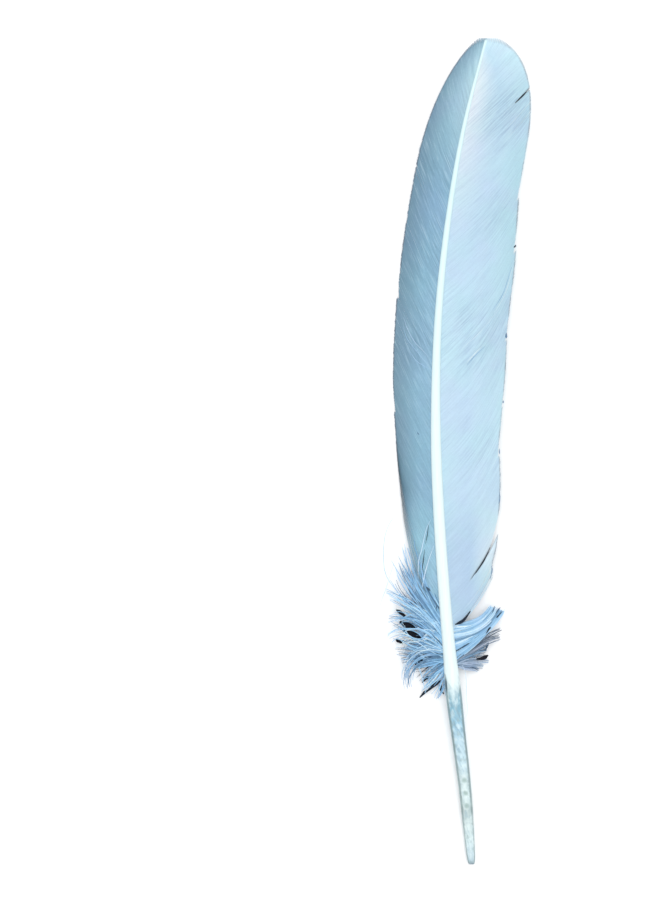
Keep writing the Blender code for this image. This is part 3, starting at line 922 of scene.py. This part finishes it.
def shaft_rings(stations, inset=0):
    """Closed outlines of the shaft across its length, smaller all round by inset."""
    y = np.asarray(stations, float)[:, None]
    angle = -math.pi / 2 + 2 * math.pi * np.arange(SHAFT_SIDES)[None, :] / SHAFT_SIDES
    power = 2 / squareness(y)
    across = np.sign(np.cos(angle)) * np.abs(np.cos(angle)) ** power
    upward = np.sign(np.sin(angle)) * np.abs(np.sin(angle)) ** power
    groove = GROOVE_TO_DEPTH * shaft_depth(y) * blend(GROOVE_START, GROOVE_FULL, y)
    lifted = np.where(upward < 0, groove * np.exp(-(across / (2 * GROOVE_TO_WIDTH)) ** 2), 0)
    x = shaft_middle(y) + across * (shaft_width(y) / 2 - inset)
    z = shaft_height(y) + upward * (half_height(y) - inset) + lifted
    return np.stack(np.broadcast_arrays(x, y, z), axis=-1)


def closed_loft(rings, start, end, low=0, high=1, inward=False):
    """
    A skin over rings, closed to a point at both ends: its points, its faces and their flat
    maps between two heights. An inward skin faces what it encloses.
    """
    count, sides = rings.shape[:2]
    grid = np.arange(count * sides).reshape(count, sides)
    ahead = np.roll(grid, -1, axis=1)
    first, last = np.full((2, sides), count * sides) + [[0], [1]]
    caps = np.concatenate([np.stack([ahead[0], grid[0], first], axis=-1),
                           np.stack([grid[-1], ahead[-1], last], axis=-1)])
    left = np.broadcast_to(LOFT_COLUMN[0] + LOFT_COLUMN[1] * np.arange(sides) / sides, grid.shape)
    right = left + LOFT_COLUMN[1] / sides
    up = np.broadcast_to(np.linspace(low + MAP_STEP, high - MAP_STEP, count)[:, None], grid.shape)
    middle = (left[0] + right[0]) / 2
    foot = (right[0], up[0], left[0], up[0], middle, up[0] - MAP_STEP)
    tip = (left[0], up[-1], right[0], up[-1], middle, up[-1] + MAP_STEP)
    cap_map = np.concatenate([np.stack(triangle, axis=-1) for triangle in (foot, tip)])
    faces = [walls_between(grid), caps]
    maps = [wall_map(left, right, up), cap_map.reshape(-1, 3, 2)]
    if inward:
        faces, maps = ([part[:, ::-1] for part in parts] for parts in (faces, maps))
    return np.concatenate([rings.reshape(-1, 3), [start, end]]), faces, maps


def joined(lofts):
    """Points, faces and flat maps of several lofts in one."""
    points, faces, maps = [], [], []
    shift = 0
    for skin, skin_faces, skin_maps in lofts:
        points.append(skin)
        faces += [face + shift for face in skin_faces]
        maps += skin_maps
        shift += len(skin)
    return np.concatenate(points), faces, maps


def build_shaft(name):
    """The outside of the whole shaft, and inside it the hollow of the calamus."""
    ring_count = int((SHAFT_TOP - EVEN_RINGS_START) / SHAFT_RING_SPACING)
    outside = shaft_rings([*END_RINGS, *np.linspace(EVEN_RINGS_START, SHAFT_TOP, ring_count)])
    middle = shaft_axis(0)
    lip = middle + (outside[:1] - middle) * UMBILICUS_TO_WIDTH
    pit = lip + [0, UMBILICUS_DEPTH * UMBILICUS_WALL, 0]
    point = np.array([shaft_middle(SHAFT_POINT), SHAFT_POINT, shaft_height(SHAFT_TOP)])
    skin = closed_loft(np.concatenate([pit, lip, outside]), middle + [0, UMBILICUS_DEPTH, 0], point,
                       0, SKIN_MAP_TOP)

    y = np.linspace(*CAVITY, HOLLOW_RINGS)
    axis = shaft_axis(y)[:, None]
    swell = np.sin(math.pi * np.linspace(*HOLLOW_ROUNDING, HOLLOW_RINGS)) ** HOLLOW_POWER
    hollow = axis + (shaft_rings(y, WALL) - axis) * swell[:, None, None]
    end = [0, HOLLOW_END, 0]
    hollow = closed_loft(hollow, axis[0, 0] - end, axis[-1, 0] + end, SKIN_MAP_TOP, 1, inward=True)
    points, faces, maps = joined([skin, hollow])
    x, y, _ = points.T
    values = {"across": (x - shaft_middle(y)) / (shaft_width(y) / 2), "along": y}
    return mesh_object(name, points, faces, maps, values, SHAFT_CREASE)


def build_pith_caps(name):
    """Dry pith caps that stand one behind the other in the hollow of the calamus."""
    chance = np.random.default_rng(PITH_SEED)
    stations = [CAVITY[0] + CAP_MARGINS[0]]
    while stations[-1] < CAVITY[1] - CAP_MARGINS[1]:
        wider = blend(*CAP_GROWTH, stations[-1]) * chance.uniform(*CAP_UNEVENNESS)
        stations.append(stations[-1] + CAP_SPACING[0] + (CAP_SPACING[1] - CAP_SPACING[0]) * wider)
    angle = 2 * math.pi * np.arange(CAP_SIDES) / CAP_SIDES
    lofts = []
    for number, station in enumerate(stations):
        room = shaft_width(station) / 2 - WALL - CAP_CLEARANCE
        middle = shaft_axis(station)
        tilt = chance.uniform(-CAP_TILT, CAP_TILT)
        rings = []
        for radius, depth in CAP_PROFILE:
            ragged = 1 + CAP_RAGGEDNESS * chance.normal(0, 1, CAP_SIDES) * (radius > CAP_RIM)
            rings.append(middle + np.stack([
                np.cos(angle) * radius * room * ragged,
                tilt * np.cos(angle) * radius - depth,
                np.sin(angle) * radius * room * CAP_FLATNESS * ragged], axis=-1))
        front, back = middle + [0, CAP_POLES[0], 0], middle - [0, CAP_POLES[1], 0]
        skin, faces, maps = closed_loft(np.array(rings), front, back)
        maps = [(part + [number, 0]) / [len(stations), 1] for part in maps]
        lofts.append((skin, faces, maps))
    return mesh_object(name, *joined(lofts), {}, CAP_CREASE)


# Materials

def paint(red, green, blue):
    """A shader colour from one given as a screen shows it, 0 to 255."""
    return tuple((value / 255) ** 2.2 for value in (red, green, blue))


class Field:
    """A number or colour that a material works out at each point: the output of a node."""

    def __init__(self, socket):
        self.socket = socket
        self.tree = socket.id_data

    def maths(self, operation, other=0):
        """What a Math node makes of this number and another one."""
        return node(self.tree, "Math", {0: self, 1: other}, operation=operation)

    __add__ = partialmethod(maths, "ADD")
    __sub__ = partialmethod(maths, "SUBTRACT")
    __mul__ = partialmethod(maths, "MULTIPLY")
    __truediv__ = partialmethod(maths, "DIVIDE")
    __abs__ = partialmethod(maths, "ABSOLUTE")

    def between(self, low, high, start=0, end=1):
        """This number's way from low to high, told as one from start to end."""
        limits = {"Value": self, "From Min": low, "From Max": high, "To Min": start, "To Max": end}
        return node(self.tree, "MapRange", limits)

    def ramp(self, *stops):
        """A colour ramp with (place, colour) stops, where a plain number is a grey."""
        made = node(self.tree, "ValToRGB", {0: self})
        elements = made.socket.node.color_ramp.elements
        while len(elements) < len(stops):
            elements.new(0.5)
        for element, (place, colour) in zip(elements, stops):
            element.position = place
            element.color = (*(colour if isinstance(colour, tuple) else [colour] * 3), 1)
        return made

    def mix(self, factor, other, kind="MIX"):
        """This colour mixed with another one."""
        other = (*other, 1) if isinstance(other, tuple) else other
        return node(self.tree, "Mix", {0: factor, 6: self, 7: other}, 2,
                    data_type="RGBA", blend_type=kind)

    def tint(self, other):
        """This colour times another one."""
        return self.mix(1, other, "MULTIPLY")

    def noise(self, scale, detail=2, y_scale=1):
        """Noise at this place, with another scale along Y."""
        place = node(self.tree, "Mapping", {"Vector": self, "Scale": (1, y_scale, 1)})
        return node(self.tree, "TexNoise", {"Vector": place, "Scale": scale, "Detail": detail})


def node(tree, kind, inputs, output=0, **settings):
    """The field that a new node gives. Each input is a plain value or another field."""
    made = tree.nodes.new("ShaderNode" + kind)
    for name, value in settings.items():
        setattr(made, name, value)
    for name, value in inputs.items():
        if isinstance(value, Field):
            tree.links.new(value.socket, made.inputs[name])
        else:
            made.inputs[name].default_value = value
    return Field(made.outputs[output])


def new_material(name, *attributes, **values):
    """
    A material with a Principled shader whose plain values are set here. Gives the fields of the
    place and of a mesh's named attributes too.
    """
    material = bpy.data.materials.new(name)
    material.use_nodes = True
    tree = material.node_tree
    shader = tree.nodes["Principled BSDF"]
    for key, value in values.items():
        shader.inputs[key.replace("_", " ")].default_value = value
    place = node(tree, "TexCoord", {}, "Object")
    read = [node(tree, "Attribute", {}, "Fac", attribute_name=key) for key in attributes]
    return material, shader, place, *read


def feed(shader, **fields):
    """Plug fields into a shader."""
    for key, field in fields.items():
        field.tree.links.new(field.socket, shader.inputs[key.replace("_", " ")])


def let_light_through(shader, colour, amount):
    """Let part of the light pass through thin horn."""
    tree = colour.tree
    through = node(tree, "BsdfTranslucent", {"Color": colour})
    both = node(tree, "MixShader", {0: amount, 1: Field(shader.outputs[0]), 2: through})
    tree.links.new(both.socket, tree.nodes["Material Output"].inputs["Surface"])


# Vane colours near the shaft, in the middle and near the edge, and their lightness along the vane.
# The left vane's darker colours, darkest at its edge, are partly its own tone and partly painted
# shade, as it slopes away from the light. The right vane's paler edge is a painted highlight.
ACROSS_PLACES = (0, 0.45, 1)
ACROSS_COLOURS = {LEFT: (paint(167, 209, 231), paint(158, 202, 224), paint(130, 164, 182)),
                  RIGHT: (paint(214, 240, 252), paint(211, 238, 252), paint(222, 248, 255))}
LIGHTNESS = {LEFT: ((95, 0.97), (130, 0.965), (190, 1), (230, 0.945), (265, 0.935), (285, 0.965)),
             RIGHT: ((95, 0.925), (112, 0.935), (135, 0.985), (190, 1), (250, 0.97), (285, 0.965))}
SHADE_POWERS = (2.6, 2.2, 1.4)

# Paler zones: the outer part of the foot, and beside the shaft at the tip
FOOT_PALE = {LEFT: ((115, 1), (135, 0)), RIGHT: ((95, 0), (112, 1), (135, 0))}
FOOT_START = {LEFT: -0.4, RIGHT: 0.5}
FOOT_COLOUR = {LEFT: paint(190, 238, 255), RIGHT: paint(240, 255, 255)}
TIP_PALE = {LEFT: ((245, 0), (285, 1)), RIGHT: ((225, 0), (285, 1))}
TIP_REACH = {LEFT: 1, RIGHT: 0.6}
TIP_COLOUR = {LEFT: paint(200, 232, 237), RIGHT: paint(255, 255, 255)}

# Mottling; dark and pale streaks in lanes along the barbs, which are painted shade and painted
# highlight of clumped, tilted barbs; fine grain; and barbs of another tone.
# A noise is (scale, detail, share of the scale along Y), and levels are what a noise or a number
# runs between and what it becomes. A strength is a pair: on a smooth vane, and what ruffles add.
MOTTLE_NOISE = (75,)
MOTTLE = ((0.34, (0.96, 1, 0.98)), (0.5, (0.985, 0.99, 0.99)), (0.66, (1, 0.97, 1)))
LANE_SCALE = (1.6, 0.1)
LANE_NOISE = (1, 4)
STREAK_LEVELS = (0.56, 0.32)
STREAKS = {LEFT: (0.26, 0.4), RIGHT: (0.12, 0.4)}
STREAK_SHADE_COLOUR = {LEFT: paint(100, 138, 164), RIGHT: paint(112, 150, 190)}
GLEAM_LEVELS = (0.54, 0.74)
GLEAM_COLOUR = paint(214, 242, 250)
GRAIN_NOISE = (1500, 3)
GRAIN_LEVELS = (0.3, 0.7)
GRAIN = {LEFT: 0.075, RIGHT: 0.038}
TONE_LEVELS = (1.4, -1.4)
TONE_STRENGTH = (0.09, 0.22)
DARK_BARB_COLOUR = paint(118, 152, 178)

# The rib of each barb and its barbules, the dark rim of the vane, which is painted shade along
# its edge, and the painted shade of the splits
RIB = ((0, 1), (0.35, (0.97, 0.98, 0.985)), (1, (0.91, 0.935, 0.95)))
BARBULE_SLANT = 0.16
BARBULE_PITCH = 0.085
BARBULE_BUMP = {"Distance": 0.00001, "Strength": 0.35}
RIM_SHADE = {LEFT: (paint(96, 106, 122), 0.75), RIGHT: (paint(132, 140, 154), 0.7)}
RIM_REACH = (0.6, 0.22)
RIM_NOISE = (150,)
RIM_LEVELS = (0.22, 0.52)
SPLIT_COLOUR = paint(46, 62, 78)
SPLIT_SHADE = 0.9
VANE_GLOW = 0.12


def vane_material(name, side):
    """Pale barbs with tones along and across the vane, mottled, streaked and ribbed."""
    material, shader, place, across, along, tone, root, out, ruffle, shade, margin, station = (
        new_material(name, "across", "along", "tone", "root", "out", "ruffle", "shade", "margin",
                     "station", Roughness=0.52, Sheen_Weight=0.12))

    def along_vane(stations, powers=(1, 1, 1)):
        stops = ((at / LENGTH, tuple(value ** power for power in powers)) for at, value in stations)
        return (station / LENGTH).ramp(*stops)

    def strength(smooth, ruffled):
        return ruffle * ruffled + smooth

    colour = out.ramp(*zip(ACROSS_PLACES, ACROSS_COLOURS[side]))
    colour = colour.tint(along_vane(LIGHTNESS[side], SHADE_POWERS))
    foot = along_vane(FOOT_PALE[side]) * out.between(FOOT_START[side], 1)
    colour = colour.mix(foot, FOOT_COLOUR[side])
    tip = along_vane(TIP_PALE[side]) * out.between(TIP_REACH[side], 0)
    colour = colour.mix(tip, TIP_COLOUR[side])
    colour = colour.tint(place.noise(*MOTTLE_NOISE).ramp(*MOTTLE))

    # Streaks of painted shade and gleams of painted highlight, in lanes along the barbs
    lane = node(place.tree, "CombineXYZ", {0: root * LANE_SCALE[0], 1: along * LANE_SCALE[1]})
    lanes = lane.noise(*LANE_NOISE)
    streak_shade, gleam = (lanes.between(*levels) * strength(*STREAKS[side])
                     for levels in (STREAK_LEVELS, GLEAM_LEVELS))
    colour = colour.mix(streak_shade, STREAK_SHADE_COLOUR[side]).mix(gleam, GLEAM_COLOUR)
    grain = place.noise(*GRAIN_NOISE).ramp(*zip(GRAIN_LEVELS, (1 - GRAIN[side], 1)))
    colour = colour.tint(grain)
    colour = colour.mix(tone.between(*TONE_LEVELS) * strength(*TONE_STRENGTH), DARK_BARB_COLOUR)
    rib = abs(across)
    colour = colour.tint(rib.ramp(*RIB))
    # A dark rim of painted shade along the vane's edge, broken up by noise
    rim_shade_colour, rim_strength = RIM_SHADE[side]
    broken = place.noise(*RIM_NOISE).between(*RIM_LEVELS)
    colour = colour.mix(margin.between(*RIM_REACH, 0, rim_strength) * broken, rim_shade_colour)
    colour = colour.mix(shade * SPLIT_SHADE, SPLIT_COLOUR)

    # Barbules, slanted away from each barb's rib on both sides
    wave = ((along - rib * BARBULE_SLANT) * (2 * math.pi / BARBULE_PITCH)).maths("SINE")
    bump = node(place.tree, "Bump", {"Height": wave, **BARBULE_BUMP})
    feed(shader, Base_Color=colour, Normal=bump)
    let_light_through(shader, colour, VANE_GLOW)
    return material


# Tones of the down from dark to pale, on blue strands and on grey ones, and patches on them. The
# darkest tones are painted shade, on sprays and strips deep in the down, its gaps and the
# vane's splits.
BLUE_TONES = ((0, paint(16, 20, 34)), (0.25, paint(106, 145, 178)), (0.5, paint(149, 199, 234)),
              (0.75, paint(182, 226, 252)), (1, paint(238, 254, 255)))
GREY_TONES = ((0, paint(16, 20, 34)), (0.5, paint(156, 167, 183)), (1, paint(226, 230, 244)))
LILAC = (1.04, 0.93, 1)
LILAC_NOISE = (130,)
LILAC_LEVELS = (0.48, 0.66, 0, 0.35)
PATCH_NOISE = (300,)
PATCHES = ((0.35, (0.82, 0.88, 0.93)), (0.6, 1))
DOWN_GLOW = 0.2


def down_material(name):
    """Fluffy strands, from dark in the depth of the down, which is painted shade, to pale on top."""
    material, shader, place, tone, grey = new_material(
        name, "tone", "grey", Roughness=0.7, Sheen_Weight=0.05, Specular_IOR_Level=0.25)
    colour = tone.ramp(*BLUE_TONES).mix(grey, tone.ramp(*GREY_TONES))
    lilac = place.noise(*LILAC_NOISE).between(*LILAC_LEVELS)
    colour = colour.mix(lilac, colour.tint(LILAC))
    colour = colour.tint(place.noise(*PATCH_NOISE).ramp(*PATCHES))
    feed(shader, Base_Color=colour)
    let_light_through(shader, colour, DOWN_GLOW)
    return material


# The white horn of the rachis from foot to tip, and the fine lines along it
WHITE_REACH = (100, 240)
WHITE = ((0, (0.7, 0.8, 0.8)), (0.4, (0.67, 0.79, 0.8)), (1, (0.6, 0.77, 0.79)))
LINES = ((0.3, (0.93, 0.96, 0.97)), (0.6, 1))
LINE_NOISE = (2600, 3, 0.06)
LINE_BUMP = {"Distance": 0.00003, "Strength": 0.3}

# The calamus, as (distance from its end, colour)
CALAMUS_TONES = ((0, (110, 128, 138)), (1.3, (188, 210, 218)), (5, (210, 230, 235)),
                 (10, (216, 234, 234)), (14.5, (214, 230, 229)), (18, (194, 212, 212)),
                 (20.2, (178, 197, 196)), (22, (192, 212, 210)), (24.5, (220, 238, 237)),
                 (28, (208, 228, 229)), (31, (196, 214, 216)), (36, (206, 230, 237)),
                 (45, (186, 215, 228)), (51, (158, 201, 221)), (57, (132, 181, 200)),
                 (62, (150, 190, 204)))

# Clouds that slant across its upper part, and cells, as (levels, colour)
CLOUD_ACROSS = 1.1
CLOUD_SLANT = 1.2
CLOUD_ALONG = 0.3
CLOUD_NOISE = (1.6, 4)
CLOUD_REACH = (34, 50, 0.35, 0.8)
CLOUDS = (((0.52, 0.36), paint(132, 168, 186)), ((0.54, 0.72, 0, 0.7), paint(204, 232, 243)))
CELL_NOISE = (620, 2, 0.7)
CELLS = (((0.46, 0.34, 0, 0.55), paint(158, 182, 184)),
         ((0.54, 0.68, 0, 0.4), paint(236, 250, 250)))

# Painted shade along both sides, where its thick clear wall is seen edge on, as (distance from
# its end, inner side as a share of the half width, strength)
WALL_SHADE_LINES = ((0, 0.66, 0.85), (3, 0.64, 0.8), (12, 0.66, 0.65), (17, 0.62, 0.62),
              (20, 0.54, 0.85), (22, 0.58, 0.62), (24.5, 0.54, 0.85), (28, 0.57, 0.78),
              (32, 0.59, 0.8), (46, 0.6, 0.92), (62, 0.64, 0.75))
WALL_NOISE = (700,)
WALL_WAVE = 0.16
WALL_LEVELS = (0.06, 0.26)
WALL_EDGE = (0.88, 1, 1, 0.45)
WALL_SHADE_COLOUR = paint(106, 125, 126)

# Dry pith ovals in its pale core, all alike, and fine lines across it
OVAL_FIRST = 21.3
OVAL_PITCH = 4.65
OVAL_ZONE = (19.6, 33)
OVAL_FADE = 0.6
OVAL_ACROSS = 0.46
OVAL_CLOUDS = 1.1
OVAL_LEVELS = (0.45, 1.5, 0, 0.85)
OVAL_COLOUR = paint(150, 176, 171)
CORE_LEVELS = (0.62, 0.2, 0, 0.45)
CORE_COLOUR = paint(232, 246, 245)
CROSS_LINES = (12.2, 15.1, 17.9)
CROSS_LINE_BOW = 0.9
CROSS_LINE_CLOUDS = 1.2
CROSS_LINE_LEVELS = (-0.45, -0.8, 0, 0.45)
CROSS_LINE_COLOUR = paint(150, 172, 176)

# The soft tongue in which the white ends, and a dark slit of painted shade on the shaft's side.
# The slit has its place and size across as a share of the half width and along in millimetres.
TONGUE_BOW = 5.5
TONGUE_FIBRES = 14
FIBRE_NOISE = (900, 3, 0.14)
TONGUE_CLOUDS = 8
TONGUE_LEVELS = (67.8, 75.2)
SLIT_PLACE = (-0.84, 65)
SLIT_SIZE = (0.14, 2.9)
SLIT_LEVELS = (1.2, 0.3)
SLIT_SHADE_COLOUR = paint(58, 84, 98)
SOLID_SIDE = (0.5, 0.75)
CLEARNESS = 0.18


def shaft_material(name):
    """Horn: opaque and nearly white along the rachis, cloudy and see-through in the calamus."""
    material, shader, place, across, along = new_material(
        name, "across", "along", Roughness=0.32, IOR=1.45)
    off_middle = abs(across)
    lines = place.noise(*LINE_NOISE)
    white = along.between(*WHITE_REACH).ramp(*WHITE).tint(lines.ramp(*LINES))

    def along_calamus(places, values):
        stops = zip((at / CALAMUS_TOP for at in places), values)
        return (along / CALAMUS_TOP).ramp(*stops)

    # Clouds and cells of the calamus
    places, tones = zip(*CALAMUS_TONES)
    horn = along_calamus(places, (paint(*rgb) for rgb in tones))
    slant = across * CLOUD_SLANT + along * CLOUD_ALONG
    cloud = node(place.tree, "CombineXYZ", {0: across * CLOUD_ACROSS, 1: slant}).noise(*CLOUD_NOISE)
    cells = place.noise(*CELL_NOISE)
    for levels, tone in CLOUDS:
        horn = horn.mix(cloud.between(*levels) * along.between(*CLOUD_REACH), tone)
    for levels, tone in CELLS:
        horn = horn.mix(cells.between(*levels), tone)

    # Pith ovals, cross lines, and painted shade along the sides where the thick wall is seen edge on
    turn = (along - OVAL_FIRST) * (2 * math.pi / OVAL_PITCH) + math.pi / 2
    narrow = off_middle / OVAL_ACROSS
    oval = turn.maths("SINE") - narrow * narrow + cloud * OVAL_CLOUDS
    first, last = OVAL_ZONE
    zone = along.between(first, first + OVAL_FADE) * along.between(last, last - OVAL_FADE)
    horn = horn.mix(off_middle.between(*CORE_LEVELS) * zone, CORE_COLOUR)
    horn = horn.mix(oval.between(*OVAL_LEVELS) * zone, OVAL_COLOUR)
    for line in CROSS_LINES:
        distance = abs(across * across * CROSS_LINE_BOW + along - line) - cloud * CROSS_LINE_CLOUDS
        horn = horn.mix(distance.between(*CROSS_LINE_LEVELS), CROSS_LINE_COLOUR)
    places, *sides = zip(*WALL_SHADE_LINES)
    inner, strength = (along_calamus(places, values) for values in sides)
    depth = off_middle + place.noise(*WALL_NOISE) * WALL_WAVE - inner
    wall_shade = depth.between(*WALL_LEVELS) * strength * off_middle.between(*WALL_EDGE)
    horn = horn.mix(wall_shade, WALL_SHADE_COLOUR)

    # The white rachis ends in a soft tongue, with a dark slit of painted shade beside it
    fibres = place.noise(*FIBRE_NOISE)
    tongue = along - off_middle * TONGUE_BOW + fibres * TONGUE_FIBRES + cloud * TONGUE_CLOUDS
    opaque = tongue.between(*TONGUE_LEVELS)
    beside, beyond = ((way - at) / size
                      for way, at, size in zip((across, along), SLIT_PLACE, SLIT_SIZE))
    slit_shade = (beside * beside + beyond * beyond).between(*SLIT_LEVELS)
    colour = horn.mix(opaque, white).mix(slit_shade, SLIT_SHADE_COLOUR)
    solid = opaque.maths("MAXIMUM", off_middle.between(*SOLID_SIDE))
    bump = node(place.tree, "Bump", {"Height": lines, **LINE_BUMP})
    feed(shader, Base_Color=colour, Normal=bump,
         Transmission_Weight=solid.between(0, 1, CLEARNESS, 0))
    return material


# Dry pith
CHALK_NOISE = (1500, 3)
CHALK = ((0.35, (0.8, 0.86, 0.84)), (0.6, (0.96, 0.98, 0.97)))


def pith_material(name):
    """Chalky pith."""
    material, shader, place = new_material(name, Roughness=0.8)
    feed(shader, Base_Color=place.noise(*CHALK_NOISE).ramp(*CHALK))
    return material


# Surroundings

def make_camera():
    data = bpy.data.cameras.new("camera")
    data.sensor_width = SENSOR
    data.lens = SENSOR * CAMERA_HEIGHT / (PHOTO_HEIGHT * MM)
    camera = add_to_scene("camera", data)
    camera.location = Vector(to_metres(PHOTO_MIDDLE)) + Vector((0, 0, CAMERA_HEIGHT))
    camera.rotation_euler = (0, 0, FEATHER_LEAN)
    bpy.context.scene.camera = camera


def make_floor():
    data = bpy.data.meshes.new("floor")
    corners = [(x * FLOOR_REACH, y * FLOOR_REACH, 0) for x, y in ((-1, -1), (1, -1), (1, 1), (-1, 1))]
    data.from_pydata(corners, [], [(0, 1, 2, 3)])
    floor = add_to_scene("floor", data)
    material, shader, place = new_material("floor", Roughness=0.9)
    dim = tuple(FLOOR_DIMMING * value for value in FLOOR_COLOUR)
    feed(shader, Base_Color=place.noise(*FLOOR_NOISE).ramp(*zip(FLOOR_LEVELS, (dim, FLOOR_COLOUR))))
    data.materials.append(material)


def make_lights():
    world = bpy.data.worlds.new("world")
    world.use_nodes = True
    background = world.node_tree.nodes["Background"].inputs
    background["Color"].default_value = WORLD_COLOUR
    background["Strength"].default_value = WORLD_LIGHT
    bpy.context.scene.world = world
    data = bpy.data.lights.new("key", "AREA")
    data.size = KEY_SIZE
    data.energy = KEY_POWER
    key = add_to_scene("key", data)
    key.location = KEY_PLACE
    key.rotation_euler = (-Vector(KEY_PLACE)).to_track_quat("-Z", "Y").to_euler()
    bpy.context.scene.view_settings.view_transform = "Standard"


def dress(item, material):
    """Give a piece its material, and say what it rides on and stands for."""
    item.data.materials.append(material)
    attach(item, "root")
    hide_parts("feather")


def main():
    make_camera()
    make_floor()
    make_lights()
    dress(build_shaft("shaft"), shaft_material("horn"))
    dress(build_pith_caps("pith_caps"), pith_material("pith"))
    dress(build_vane(LEFT, "left_vane"), vane_material("left_barbs", LEFT))
    dress(build_vane(RIGHT, "right_vane"), vane_material("right_barbs", RIGHT))
    down = down_material("down")
    for index, (name, side, sprays) in enumerate(DOWN):
        strands = spray_strands(side, sprays, np.random.default_rng(SPRAY_SEED + index))
        dress(build_strands(name, side, strands, BARBULE_SEED + index), down)
    for index, (name, side) in enumerate((("left_strays", LEFT), ("right_strays", RIGHT))):
        strays = build_strands(name, side, stray_strands(side), STRAY_SEED + index, STRAY_POINT)
        dress(strays, down)


main()
